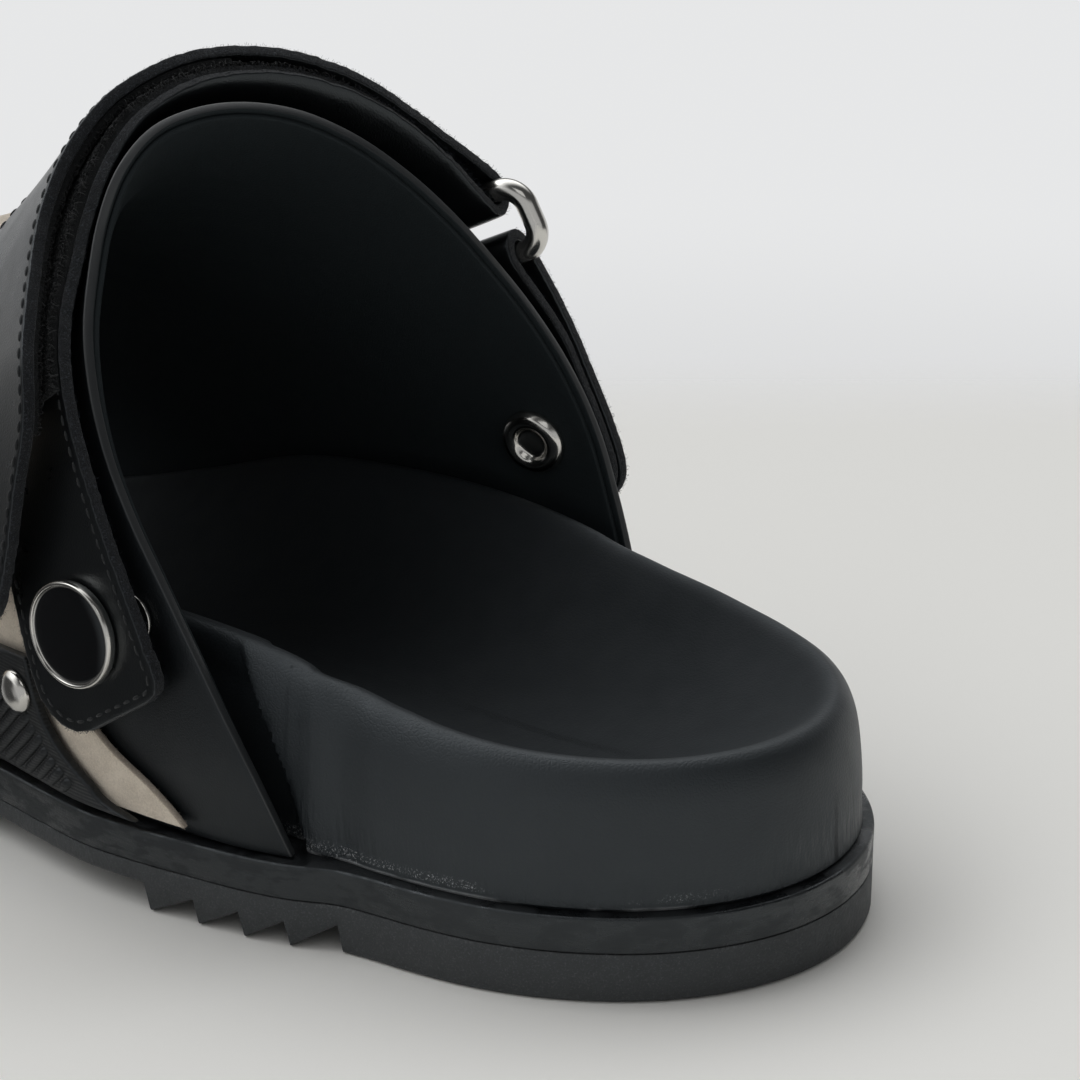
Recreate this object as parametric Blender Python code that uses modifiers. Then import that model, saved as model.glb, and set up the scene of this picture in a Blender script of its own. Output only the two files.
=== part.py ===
"""Right sandal: a hollow leather vamp, an instep strap folded round a metal ring, and a saw-toothed sole.

Tables and sizes are in millimetres: x to the wearer's right (lateral), y from the back of the heel to the
toe, z up from the ground. At the end all pieces move so that the origin is the middle of the base, and the
meshes are in metres.
"""

import math

import bmesh
import bpy
import numpy as np
from mathutils import Vector

MM = 0.001
GAP = 0.3

SOLE_TOP = 12.26
OUTSOLE_TOP = 7.0
TOE_SPRING_FROM = 222.0
TOE_SPRING = 9.0
LENGTH = 285.0
HALF_WIDTH = 42.0

VAMP_WALL = 2.4
SUEDE_WALL = 1.1
GUARD_WALL = 1.5
SUEDE_OFF = 0.6
GUARD_OFF = 2.3
GIRTH_POINTS = 41
VAMP_ROWS = 16
SUEDE_ROWS = 11
STRAP_WALL = 1.8
STRAP_WIDTH = 22.0
TAB_WALL = 1.9
WIRE_RADIUS = 1.7
RING_PITCH = 10.1
RING_INSIDE = 26.6
RING_U = 0.7018
RING_BACK = 0.3
RING_STANDOFF = (8.2, 6.4)
RING_TILT = -25.0

# Sole outline from the back of the heel, along the lateral side, round the toe and back on the medial side.
OUTLINE_X_Y = (
    (0.0, 0.0), (9.84, 1.6), (19.0, 6.27), (26.9, 13.7), (32.9, 23.4), (36.7, 34.7), (38.0, 46.0),
    (39.2, 51.5), (41.0, 57.5), (42.2, 66.0), (43.0, 80.0), (44.0, 105.0), (45.2, 125.0), (47.4, 150.0),
    (49.8, 175.0), (51.0, 195.0), (50.0, 215.0), (46.2, 235.0), (38.8, 255.0), (27.0, 271.5), (13.0, 281.5),
    (-2.0, 285.0),
    (-17.0, 282.0), (-31.0, 272.5), (-41.0, 257.0), (-46.6, 238.0), (-48.3, 218.0), (-47.0, 198.0),
    (-43.0, 178.0), (-38.6, 158.0), (-36.4, 140.0), (-36.8, 127.0), (-38.4, 118.0), (-41.0, 107.0),
    (-43.0, 97.0), (-43.2, 88.0), (-42.7, 78.0), (-42.1, 70.0), (-40.7, 62.5), (-38.6, 56.5), (-38.1, 51.0),
    (-38.0, 46.0), (-36.7, 34.7), (-32.9, 23.4), (-26.9, 13.7), (-19.0, 6.27), (-9.84, 1.6),
)

# Underside along the length: heel flat, breast, four teeth with a steep toe-side face, arch, forefoot flat.
UNDERSIDE_Y_Z = (
    (0.0, 0.0), (55.8, 0.0), (56.5, 3.9), (62.9, 0.0), (63.8, 3.5), (69.8, 0.0), (70.7, 3.5), (77.3, 0.0),
    (78.2, 3.5), (85.5, 0.0), (86.5, 3.9), (92.0, 4.0), (122.0, 4.0), (132.0, 2.6), (141.0, 0.5),
    (147.0, 0.0), (285.0, 0.0),
)

STATIONS = (
    0.5, 1.6, 3.3, 5.6, 8.5, 12.0, 16.2, 21.0, 26.5, 32.5, 39.0, 45.5, 51.0, 55.8, 56.5, 59.5, 62.9, 63.8,
    66.8, 69.8, 70.7, 74.0, 77.3, 78.2, 82.0, 85.5, 86.5, 92.0, 98.0, 104.0, 112.0, 122.0, 132.0, 141.0,
    147.0, 160.0, 172.0, 184.0, 196.0, 208.0, 219.0, 229.0, 238.0, 247.0, 255.0, 262.0, 268.0, 273.0, 277.0,
    280.3, 282.6, 284.2,
)
BED_STATIONS = (
    1.6, 3.6, 6.4, 10.0, 14.5, 20.0, 26.5, 34.0, 42.0, 50.0, 56.0, 61.0, 67.0, 74.0, 82.0, 91.0, 101.0,
    112.0, 124.0, 137.0, 151.0, 166.0, 181.0, 196.0, 210.0, 223.0, 235.0, 246.0, 256.0, 264.5, 271.5, 277.0,
    281.0, 283.6,
)

# Inset of the vamp's outer face, and of the footbed's wall on each side, from the sole outline.
INSET_Y_VAMP_MEDIAL_LATERAL = (
    (0.0, 0.8, 1.6, 1.6), (43.0, 0.8, 1.6, 1.6), (48.0, 0.8, 1.6, 2.7), (53.0, 0.8, 1.8, 4.2),
    (58.0, 0.8, 2.9, 5.0), (63.0, 0.9, 4.4, 5.5), (75.0, 1.3, 5.7, 5.8), (95.0, 3.3, 7.0, 7.0),
    (190.0, 3.3, 6.4, 6.4), (206.0, 3.0, 6.0, 6.0), (218.0, 2.4, 2.2, 2.2), (285.0, 2.0, 2.0, 2.0),
)

# Crest of the footbed's rim on each side, and the floor of its dish, along the length.
BED_Y_MEDIAL_LATERAL_DISH = (
    (0.0, 31.7, 31.7, 23.0), (12.0, 31.6, 31.5, 22.0), (24.0, 31.95, 31.55, 21.0), (34.0, 32.5, 32.5, 20.2),
    (46.0, 33.8, 35.5, 20.0), (54.0, 35.3, 37.8, 20.4), (60.0, 36.9, 39.1, 20.8), (65.0, 38.05, 40.1, 21.2),
    (73.0, 39.35, 41.2, 22.0), (80.0, 40.1, 42.0, 22.6), (96.0, 40.8, 42.6, 23.4), (114.0, 40.0, 41.2, 22.8),
    (135.0, 35.5, 35.0, 20.4),
    (160.0, 29.0, 28.0, 18.2), (190.0, 23.0, 23.0, 16.8), (225.0, 21.2, 21.2, 16.8),
    (260.0, 21.2, 21.2, 17.0), (285.0, 21.2, 21.2, 17.4),
)

# Edges of the vamp from the medial base, over the instep, to the lateral base. The back edge is as measured
# in the photograph; the three further forward give x as a share of the sole's half-width.
REAR_X_Y_Z = (
    (-39.3, 63.23, 12.56), (-41.3, 67.25, 23.1), (-42.0, 72.94, 33.6), (-42.1, 77.23, 41.2),
    (-42.0, 81.79, 48.7), (-41.7, 86.46, 56.0), (-40.75, 91.37, 64.52), (-39.13, 95.11, 73.0),
    (-35.9, 98.46, 80.16), (-31.67, 100.95, 86.41), (-27.26, 102.8, 92.56), (-22.6, 103.2, 98.56),
    (-16.6, 101.8, 103.53), (-10.24, 98.9, 105.59), (-2.94, 95.4, 105.55), (3.26, 91.54, 103.86),
    (9.42, 87.37, 100.28), (16.53, 82.9, 94.14), (22.55, 78.93, 87.27), (28.51, 75.67, 79.56),
    (34.05, 72.17, 71.09), (38.37, 68.19, 61.41), (40.76, 64.63, 51.6), (41.5, 61.8, 42.12),
    (41.3, 59.2, 33.6), (40.2, 56.2, 23.0), (38.8, 53.2, 12.56),
)
INSTEP_SHARE_Y_Z = (
    (-1.0, 97.0, 12.56), (-1.03, 99.0, 24.0), (-1.06, 102.0, 36.0), (-1.06, 105.5, 46.0),
    (-1.04, 109.0, 56.0), (-0.98, 112.5, 65.0), (-0.86, 116.0, 73.5), (-0.7, 118.5, 80.5),
    (-0.5, 119.5, 86.2), (-0.28, 119.0, 90.2), (-0.08, 117.0, 91.5), (0.12, 114.0, 90.4), (0.3, 111.0, 86.6),
    (0.46, 108.0, 80.8), (0.62, 104.5, 72.5), (0.79, 101.0, 62.5), (0.93, 97.5, 51.5), (1.02, 94.5, 40.0),
    (1.04, 91.5, 27.0), (1.0, 89.0, 12.56),
)
MIDDLE_SHARE_Y_Z = (
    (-1.0, 132.0, 12.56), (-1.06, 133.0, 25.0), (-1.1, 134.5, 37.0), (-1.08, 136.5, 48.0),
    (-1.0, 139.5, 58.5), (-0.86, 142.5, 68.0), (-0.66, 144.5, 75.5), (-0.44, 145.0, 80.0),
    (-0.2, 144.0, 81.8), (0.05, 141.5, 81.0), (0.28, 138.5, 77.5), (0.5, 135.5, 71.0), (0.71, 132.5, 61.5),
    (0.89, 129.8, 50.0), (1.0, 128.0, 38.0), (1.03, 126.5, 25.0), (1.0, 125.0, 12.56),
)
FRONT_SHARE_Y_Z = (
    (-1.0, 205.0, 12.56), (-1.01, 203.0, 25.0), (-0.98, 200.0, 36.0), (-0.9, 196.0, 45.0),
    (-0.75, 192.5, 52.5), (-0.5, 189.5, 58.0), (-0.2, 187.8, 60.5), (0.15, 187.4, 60.0), (0.45, 188.4, 56.5),
    (0.7, 190.6, 50.5), (0.88, 193.8, 42.0), (0.97, 197.0, 33.0), (1.0, 199.5, 24.0), (1.0, 202.0, 12.56),
)
EDGE_V = (0.0, 0.25, 0.5, 1.0)

# Back edge of the pale panel, and of each ribbed guard over it, as shares of the way to the front.
SUEDE_U_V = (
    (0.0, 0.105), (0.02, 0.128), (0.035, 0.157), (0.045, 0.183), (0.0735, 0.225), (0.1055, 0.25),
    (0.16, 0.29), (0.28, 0.36), (0.5, 0.38), (0.72, 0.36), (0.84, 0.29), (0.8945, 0.25), (0.9265, 0.225),
    (0.955, 0.183), (0.965, 0.157), (0.98, 0.128), (1.0, 0.105),
)
GUARD_RISE_V = (
    (0.005, 0.146), (0.0115, 0.196), (0.0245, 0.227), (0.0445, 0.264), (0.061, 0.28), (0.081, 0.284),
    (0.1055, 0.28),
)

# Strips over the vamp. Each row crosses the strip, with its back point and then its front point: share of
# the girth, distance from the vamp's back edge, and offset of the strip's middle from the vamp.
INNER_BACK_FRONT = (
    (0.1035, 5.8, 3.65, 0.05, 33.0, 4.05), (0.12, 5.3, 3.6, 0.072, 34.0, 3.85),
    (0.14, 4.7, 3.55, 0.098, 34.0, 3.7), (0.17, 3.5, 3.4, 0.132, 33.2, 3.4),
    (0.216, 1.7, 3.2, 0.1827, 31.2, 3.0), (0.249, 0.5, 3.1, 0.2176, 29.8, 2.5),
    (0.284, 0.2, 2.8, 0.2537, 28.9, 2.0), (0.32, 0.3, 2.2, 0.2952, 28.4, 1.6),
    (0.3623, 0.6, 1.4, 0.3576, 27.4, 1.35), (0.4178, 0.9, 1.8, 0.438, 26.6, 1.35),
    (0.4987, 0.7, 5.3, 0.526, 24.6, 1.6), (0.566, 0.5, 7.3, 0.587, 22.6, 2.5),
    (0.613, 0.5, 8.4, 0.6249, 22.3, 3.6), (0.648, 0.5, 8.5, 0.654, 22.2, 4.8),
)
OUTER_BACK_FRONT = (
    (0.655, 0.5, 12.1, 0.66, 22.6, 8.9), (0.624, 0.5, 10.9, 0.633, 22.5, 6.6),
    (0.566, 0.5, 10.25, 0.586, 22.8, 5.3), (0.4986, 0.9, 9.4, 0.527, 25.2, 4.6),
    (0.418, 1.6, 7.2, 0.438, 29.0, 4.4), (0.3624, 1.2, 6.8, 0.356, 30.2, 4.5),
    (0.3188, 0.3, 6.9, 0.299, 30.0, 5.2), (0.2911, 1.2, 7.7, 0.279, 29.8, 6.0),
    (0.2664, 5.6, 7.7, 0.269, 30.2, 6.6), (0.2379, 12.0, 7.6, 0.256, 32.4, 6.9),
    (0.212, 17.2, 7.45, 0.24, 35.6, 7.1), (0.1861, 22.2, 7.3, 0.2211, 39.2, 7.2),
    (0.1611, 27.2, 7.2, 0.202, 43.2, 7.2), (0.136, 32.2, 7.2, 0.1793, 48.0, 7.2),
    (0.116, 36.2, 7.2, 0.1604, 52.2, 7.2),
)
TAB_BACK_FRONT = (
    (0.8884, 1.63, 1.4, 0.8881, 20.61, 1.4), (0.8565, 0.97, 1.7, 0.8561, 21.87, 1.5),
    (0.8316, 0.93, 1.75, 0.8311, 22.71, 1.6), (0.8045, 0.99, 2.3, 0.8041, 22.66, 1.8),
    (0.7816, 0.96, 3.3, 0.7811, 22.57, 2.3),
)
TAB_SPREAD = 0.5
# Radii of the corners at a strip's start and end, on its back edge and on its front edge.
STRAP_ENDS_ROUND = ((3.0, 8.0), (8.0, 8.0))
TAB_ENDS_ROUND = ((7.0, 7.0), (7.0, 7.0))
RING_CORNER = 3.6

SNAP_U, SNAP_BACK = 0.1342, 19.84
SNAP_STRAP_OFF = 2.8
SPARE_U, SPARE_BACK = 0.1424, 11.24
SOCKET_U, SOCKET_BACK = 0.834, 11.57
SOCKET_TAB_OFF = 1.75
GUARD_RIVET_U, GUARD_RIVET_V = 0.0769, 0.3134
TAB_RIVET_LIFT = 0.5

# Turned fasteners: radius and height from the top down.
SNAP_CAP_R_Z = (
    (0, 1.5), (6.8, 1.5), (7.0, 2.0), (7.4, 1.9), (7.6, 1.4), (7.5, 0.5), (6.8, 0), (0, 0),
)
SNAP_INLAY_R_Z = ((0, 2.0), (6.5, 1.85), (6.5, 1.6), (0, 1.6))
SNAP_POST_R = 1.9
SPARE_STUD_R_Z = ((0, 1.3), (2.3, 1.2), (3.0, 0.8), (3.8, 0.6), (3.8, 0), (0, 0))
SOCKET_R_Z = (
    (0, 0.6), (2.3, 0.8), (2.9, 1.8), (3.8, 2.1), (4.7, 1.8), (5.3, 0.9), (5.3, 0), (0, 0),
)
TAB_RIVET_R_Z = ((0, 1.7), (2.2, 1.6), (4.2, 1.3), (5.4, 0.7), (5.6, 0), (0, 0))
GUARD_RIVET_R_Z = ((0, 2.0), (1.5, 1.8), (2.6, 1.3), (3.2, 0.6), (3.3, 0), (0, 0))

# Turn of the footbed's wall into its rim: how far in, and how far below the crest as a share of the wall.
RIM_DEEPER_DROP = (
    (0.4, 0.62), (0.9, 0.36), (1.5, 0.2), (2.4, 0.085), (3.4, 0.025), (4.6, 0.0), (6.2, 0.03),
    (8.4, 0.11),
)
RIM_WALL_MOST = 20.0
DISH_SHARES = (0.2, 0.42, 0.64, 0.84)
DISH_SPINE = (36.0, 252.0)
DISH_POWER = 2.2
EDGE_BREAK = 0.7
SUEDE_ENDS_U = (0.008, 0.992)
SUEDE_FRONT_V = 0.99
GUARD_FRONT_V = 0.98
GUARD_U = (0.0075, 0.0115, 0.0175, 0.0275, 0.042, 0.0605, 0.0805, 0.1045)
GUARD_SHARES = (0.0, 0.05, 0.12, 0.22, 0.36, 0.52, 0.68, 0.84, 1.0)


def spline(knots, values, at):
    """Cubic through the rows of values at their knots, read at the given places."""
    knots = np.asarray(knots, float)
    values = np.asarray(values, float)
    at = np.atleast_1d(np.asarray(at, float))
    if values.ndim == 1:
        return spline(knots, values[:, None], at)[:, 0]
    step = np.diff(knots)[:, None]
    rise = np.diff(values, axis=0) / step
    inside = (rise[:-1] * step[1:] + rise[1:] * step[:-1]) / (step[:-1] + step[1:])
    slope = np.vstack([rise[:1], inside, rise[-1:]])
    i = np.clip(np.searchsorted(knots, at, side="right") - 1, 0, len(knots) - 2)
    h = step[i]
    s = (at - knots[i])[:, None] / h
    held = (2 * s**3 - 3 * s**2 + 1) * values[i] + (3 * s**2 - 2 * s**3) * values[i + 1]
    return held + (s**3 - 2 * s**2 + s) * h * slope[i] + (s**3 - s**2) * h * slope[i + 1]


def column(table, place, index):
    """One column of a table, read smoothly at a place in its first column."""
    rows = sorted(table)
    return spline([row[0] for row in rows], [row[index] for row in rows], place)


def by_length(points, at):
    """A curve through points whose x is a share of the half-width, read at shares of its length."""
    points = np.asarray(points, float)
    steps = np.diff(points, axis=0) * (HALF_WIDTH, 1.0, 1.0)
    run = np.concatenate([[0.0], np.cumsum(np.linalg.norm(steps, axis=1))])
    return spline(run / run[-1], points, at)


def dense_outline(count=2400):
    points = np.asarray(OUTLINE_X_Y, float)
    wrapped = np.vstack([points[-3:], points, points[:4]])
    run = np.concatenate([[0.0], np.cumsum(np.linalg.norm(np.diff(wrapped, axis=0), axis=1))])
    return spline(run, wrapped, np.linspace(run[3], run[3 + len(points)], count, endpoint=False))


OUTLINE = dense_outline()
TOE = int(OUTLINE[:, 1].argmax())
LATERAL = OUTLINE[: TOE + 1]
MEDIAL = np.vstack([OUTLINE[TOE:], OUTLINE[:1]])[::-1]


def half_width(y, lateral):
    """Distance of the sole's edge from the middle line at a place along the length."""
    side = LATERAL if lateral else MEDIAL
    return np.abs(np.interp(y, side[:, 1], side[:, 0]))


def spring(y):
    ahead = (np.asarray(y, float) - TOE_SPRING_FROM) / (LENGTH - TOE_SPRING_FROM)
    return TOE_SPRING * np.clip(ahead, 0, 1) ** 2


def mesh_object(name, points, faces, edges=()):
    mesh = bpy.data.meshes.new(name)
    mesh.from_pydata([tuple(p) for p in np.asarray(points, float) * MM], list(edges), faces)
    return bpy.data.objects.new(name, mesh)


def sheet(name, grid, wall, side):
    """A wall of one thickness on a grid of points; side -1 lies under the grid, 0 has it in the middle."""
    rows, cols = grid.shape[:2]
    faces = []
    for r in range(rows - 1):
        for c in range(cols - 1):
            a = r * cols + c
            faces.append((a, a + cols, a + cols + 1, a + 1))
    piece = mesh_object(name, grid.reshape(-1, 3), faces)
    solid = piece.modifiers.new("wall", "SOLIDIFY")
    solid.thickness = wall * MM
    solid.offset = side
    return piece


def turned(name, profile, place, out, segments):
    """A piece turned from rows of radius and height, seated at a place with its axis along out."""
    points = [(radius, 0.0, height) for radius, height in profile]
    piece = mesh_object(name, points, [], [(k, k + 1) for k in range(len(points) - 1)])
    screw = piece.modifiers.new("turning", "SCREW")
    screw.steps = segments
    screw.render_steps = segments
    screw.use_merge_vertices = True
    screw.merge_threshold = 0.000001
    piece.location = Vector(place) * MM
    piece.rotation_euler = Vector(out).to_track_quat("Z", "Y").to_euler()
    return piece


def loop_of(stations):
    """Points round the outline and their inward normals: heel, lateral stations, toe, medial stations."""
    y = np.asarray(stations, float)
    heel, toe = OUTLINE[:1], OUTLINE[TOE : TOE + 1]
    lateral = np.column_stack([half_width(y, True), y])
    medial = np.column_stack([-half_width(y, False), y])[::-1]
    points = np.vstack([heel, lateral, toe, medial])
    ahead = np.roll(points, -1, axis=0) - points
    ahead /= np.linalg.norm(ahead, axis=1)[:, None]
    along = ahead + np.roll(ahead, 1, axis=0)
    along /= np.linalg.norm(along, axis=1)[:, None]
    return points, np.column_stack([-along[:, 1], along[:, 0]])


def lap(points, inward, inset, z):
    moved = points + inward * np.reshape(inset, (-1, 1))
    return np.column_stack([moved, np.broadcast_to(z, len(points))])


def stacked(name, laps):
    """A loft through laps of equal length, capped across at both ends."""
    n = len(laps[0])
    faces = []
    for k in range(len(laps) - 1):
        for i in range(n):
            j = (i + 1) % n
            faces.append((k * n + i, k * n + j, (k + 1) * n + j, (k + 1) * n + i))
    for base in (0, (len(laps) - 1) * n):
        faces.append((base, base + 1, base + n - 1))
        for i in range(1, n // 2 - 1):
            faces.append((base + i, base + i + 1, base + n - i - 1, base + n - i))
        faces.append((base + n // 2 - 1, base + n // 2, base + n // 2 + 1))
    piece = mesh_object(name, np.vstack(laps), faces)
    whole = bmesh.new()
    whole.from_mesh(piece.data)
    bmesh.ops.recalc_face_normals(whole, faces=whole.faces)
    whole.to_mesh(piece.data)
    whole.free()
    return piece


def outsole():
    points, inward = loop_of(STATIONS)
    y = points[:, 1]
    rows = np.asarray(UNDERSIDE_Y_Z, float)
    low = np.interp(y, rows[:, 0], rows[:, 1]) + spring(y)
    top = OUTSOLE_TOP + spring(y)
    return stacked("outsole", [
        lap(points, inward, EDGE_BREAK, low),
        lap(points, inward, 0.0, low + EDGE_BREAK),
        lap(points, inward, 0.0, top),
    ])


def midsole():
    points, inward = loop_of(STATIONS)
    low = OUTSOLE_TOP + GAP + spring(points[:, 1])
    top = SOLE_TOP + spring(points[:, 1])
    return stacked("midsole", [
        lap(points, inward, 0.0, low),
        lap(points, inward, 0.0, top - EDGE_BREAK),
        lap(points, inward, EDGE_BREAK, top),
    ])


def footbed():
    points, inward = loop_of(BED_STATIONS)
    y = points[:, 1]
    n = len(points)
    lateral = np.arange(n) <= n // 2
    medial_inset, lateral_inset = (column(INSET_Y_VAMP_MEDIAL_LATERAL, y, k) for k in (2, 3))
    medial_crest, lateral_crest = (column(BED_Y_MEDIAL_LATERAL_DISH, y, k) for k in (1, 2))
    inset = np.where(lateral, lateral_inset, medial_inset)
    crest = np.where(lateral, lateral_crest, medial_crest) + spring(y)
    base = SOLE_TOP + GAP + spring(y)
    wall = np.minimum(crest - base, RIM_WALL_MOST)
    laps = [lap(points, inward, inset, base)]
    for deeper, drop in RIM_DEEPER_DROP:
        laps.append(lap(points, inward, inset + deeper, crest - drop * wall))
    edge = laps[-1]
    spine = np.column_stack([np.zeros(n), np.clip(edge[:, 1], *DISH_SPINE), np.zeros(n)])
    for share in DISH_SHARES:
        ring_lap = edge + (spine - edge) * share
        floor = column(BED_Y_MEDIAL_LATERAL_DISH, ring_lap[:, 1], 3) + spring(ring_lap[:, 1])
        ring_lap[:, 2] = floor + (edge[:, 2] - floor) * (1 - share) ** DISH_POWER
        laps.append(ring_lap)
    return stacked("footbed", laps)


def share_of(points):
    """Edge points with x turned into a share of the vamp's half-width at their place along the length."""
    points = np.asarray(points, float).copy()
    points[:, 0] /= vamp_half(points[:, 0], points[:, 1])
    return points


def vamp_half(side, y):
    edge = np.where(np.asarray(side) > 0, half_width(y, True), half_width(y, False))
    return edge - column(INSET_Y_VAMP_MEDIAL_LATERAL, y, 1)


VAMP_EDGES = (share_of(REAR_X_Y_Z), INSTEP_SHARE_Y_Z, MIDDLE_SHARE_Y_Z, FRONT_SHARE_Y_Z)


def blend_edges(edges, v):
    """A point for each share v of the way forward, on a cubic through the four edges."""
    place = np.zeros_like(edges[0])
    for k, own in enumerate(EDGE_V):
        weight = np.ones(len(v))
        for other in EDGE_V:
            if other != own:
                weight *= (v - other) / (own - other)
        place += weight[:, None] * edges[k]
    return place


def vamp(u, v):
    """Outer face of the vamp: u from the medial to the lateral base, v from the back edge to the front."""
    u, v = np.broadcast_arrays(np.asarray(u, float), np.asarray(v, float))
    shape = u.shape
    u, v = u.ravel(), v.ravel()
    place = blend_edges([by_length(edge, u) for edge in VAMP_EDGES], v)
    side = place[:, 0]
    blend = np.clip(0.5 + side / 0.5, 0, 1)
    half = vamp_half(-1.0, place[:, 1]) * (1 - blend) + vamp_half(1.0, place[:, 1]) * blend
    return np.column_stack([side * half, place[:, 1], place[:, 2]]).reshape(shape + (3,))


def vamp_normal(u, v):
    du, dv = 0.004, 0.006
    u, v = np.broadcast_arrays(np.asarray(u, float), np.asarray(v, float))
    across = vamp(np.minimum(u + du, 1), v) - vamp(np.maximum(u - du, 0), v)
    along = vamp(u, np.minimum(v + dv, 1)) - vamp(u, np.maximum(v - dv, 0))
    normal = np.cross(across, along)
    return normal / np.linalg.norm(normal, axis=-1, keepdims=True)


def off_vamp(u, v, offset):
    return vamp(u, v) + vamp_normal(u, v) * np.asarray(offset, float)[..., None]


def upper():
    u, v = np.meshgrid(np.linspace(0, 1, GIRTH_POINTS), np.linspace(0, 1, VAMP_ROWS), indexing="ij")
    return sheet("upper", vamp(u, v), VAMP_WALL, -1)


def overlay(name, u, back, front, shares, low, wall):
    """A wall laid over the vamp at a height, from a back edge given for each u to one front edge."""
    v = back[:, None] + (front - back[:, None]) * np.asarray(shares)[None]
    u = np.broadcast_to(u[:, None], v.shape)
    return sheet(name, off_vamp(u, v, np.full(u.shape, low + wall)), wall, -1)


def suede_panel():
    u = np.linspace(0, 1, GIRTH_POINTS)
    u[0], u[-1] = SUEDE_ENDS_U
    back = column(SUEDE_U_V, u, 1)
    shares = np.linspace(0, 1, SUEDE_ROWS)
    return overlay("suede_panel", u, back, SUEDE_FRONT_V, shares, SUEDE_OFF, SUEDE_WALL)


def guard(name, lateral):
    rise = np.asarray(GUARD_U)
    back = column(GUARD_RISE_V, rise, 1)
    u = 1 - rise[::-1] if lateral else rise
    back = back[::-1] if lateral else back
    return overlay(name, u, back, GUARD_FRONT_V, GUARD_SHARES, GUARD_OFF, GUARD_WALL)


def vamp_length(u):
    """Length of the vamp from its back edge to its front at a share of the girth, in millimetres."""
    return np.linalg.norm(vamp(u, 1.0) - vamp(u, 0.0), axis=-1)


def ring_frame():
    """Middle of the tilted ring with its girth, bar and outward directions."""
    u = np.asarray(RING_U)
    reach = np.array([RING_BACK, RING_BACK + STRAP_WIDTH]) / vamp_length(u)
    ends = off_vamp(u, reach, np.array(RING_STANDOFF))
    bar = ends[1] - ends[0]
    bar /= np.linalg.norm(bar)
    out = vamp_normal(u, reach.mean())
    out = out - bar * np.dot(bar, out)
    out /= np.linalg.norm(out)
    girth = np.cross(bar, out)
    cos, sin = math.cos(math.radians(RING_TILT)), math.sin(math.radians(RING_TILT))
    return ends.mean(axis=0), girth * cos + out * sin, bar, out * cos - girth * sin


def fold(sign, radius, width, start, stop, count=9):
    """Back and front points of a strip's turn round one bar of the ring; sign -1 is the upper bar."""
    middle, girth, bar, out = ring_frame()
    axis = middle + girth * (sign * RING_PITCH / 2)
    angle = np.radians(np.linspace(start, stop, count))[:, None]
    turn = axis + radius * (np.cos(angle) * -sign * girth + np.sin(angle) * out)
    return turn - bar * width / 2, turn + bar * width / 2


def trimmed(run, radii):
    """How far an edge draws in along a strip to round its corners at the start and at the end."""
    trim = np.zeros(len(run))
    for radius, away in zip(radii, (run, run[-1] - run)):
        near = np.clip(1 - away / radius, 0, 1)
        trim = np.maximum(trim, radius * (1 - np.sqrt(np.clip(1 - near**2, 0, 1))))
    return trim


def strip(name, back, front, wall, ends_round, cols):
    """A strip of leather of one thickness through paired back and front points, with rounded ends."""
    middle = (back + front) / 2
    width = np.linalg.norm(front - back, axis=1)
    run = np.concatenate([[0.0], np.cumsum(np.linalg.norm(np.diff(middle, axis=0), axis=1))])
    first = (trimmed(run, ends_round[0]) / width)[:, None]
    last = 1 - (trimmed(run, ends_round[1]) / width)[:, None]
    place = first + (last - first) * np.linspace(0, 1, cols)[None]
    spread = back[:, None] + (front - back)[:, None] * place[..., None]
    return sheet(name, spread, wall, 0)


def fine_ends(table, start, end):
    """The table with rows added close to a rounded end, so that its corners turn smoothly."""
    table = np.asarray(table, float)
    rows = list(spline(np.linspace(0, 1, len(table)), table, np.linspace(0, 1, 3 * len(table))))
    if start:
        extra = [rows[0] + (rows[1] - rows[0]) * s for s in (0.12, 0.3, 0.6)]
        rows = rows[:1] + extra + rows[1:]
    if end:
        extra = [rows[-1] + (rows[-2] - rows[-1]) * s for s in (0.6, 0.3, 0.12)]
        rows = rows[:-1] + extra + rows[-1:]
    return np.asarray(rows)


def strip_run(table):
    """Back and front points of a strip laid over the vamp."""
    edges = np.asarray(table, float).T.reshape(2, 3, -1)
    return [off_vamp(u, away / vamp_length(u), offset) for u, away, offset in edges]


def strap():
    radius = WIRE_RADIUS + GAP + STRAP_WALL / 2
    inner = strip_run(fine_ends(INNER_BACK_FRONT, True, False))
    turn = fold(-1, radius, STRAP_WIDTH, -65.0, 128.0)
    outer = strip_run(fine_ends(OUTER_BACK_FRONT, False, True))
    back, front = (np.vstack([inner[k], turn[k], outer[k]]) for k in (0, 1))
    return strip("strap", back, front, STRAP_WALL, STRAP_ENDS_ROUND, 4)


def ring_tab():
    radius = WIRE_RADIUS + GAP + TAB_WALL / 2
    table = fine_ends(TAB_BACK_FRONT, True, False)
    inner = strip_run(table)
    turn = fold(1, radius, STRAP_WIDTH, -115.0, 78.0)
    over = table[::-1].copy()
    apart = TAB_WALL + GAP + TAB_SPREAD * np.linspace(1, 0, len(over)) ** 2.5
    over[:, [2, 5]] += apart[:, None]
    outer = strip_run(over)
    back, front = (np.vstack([inner[k], turn[k], outer[k]]) for k in (0, 1))
    return strip("ring_tab", back, front, TAB_WALL, TAB_ENDS_ROUND, 3)


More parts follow.
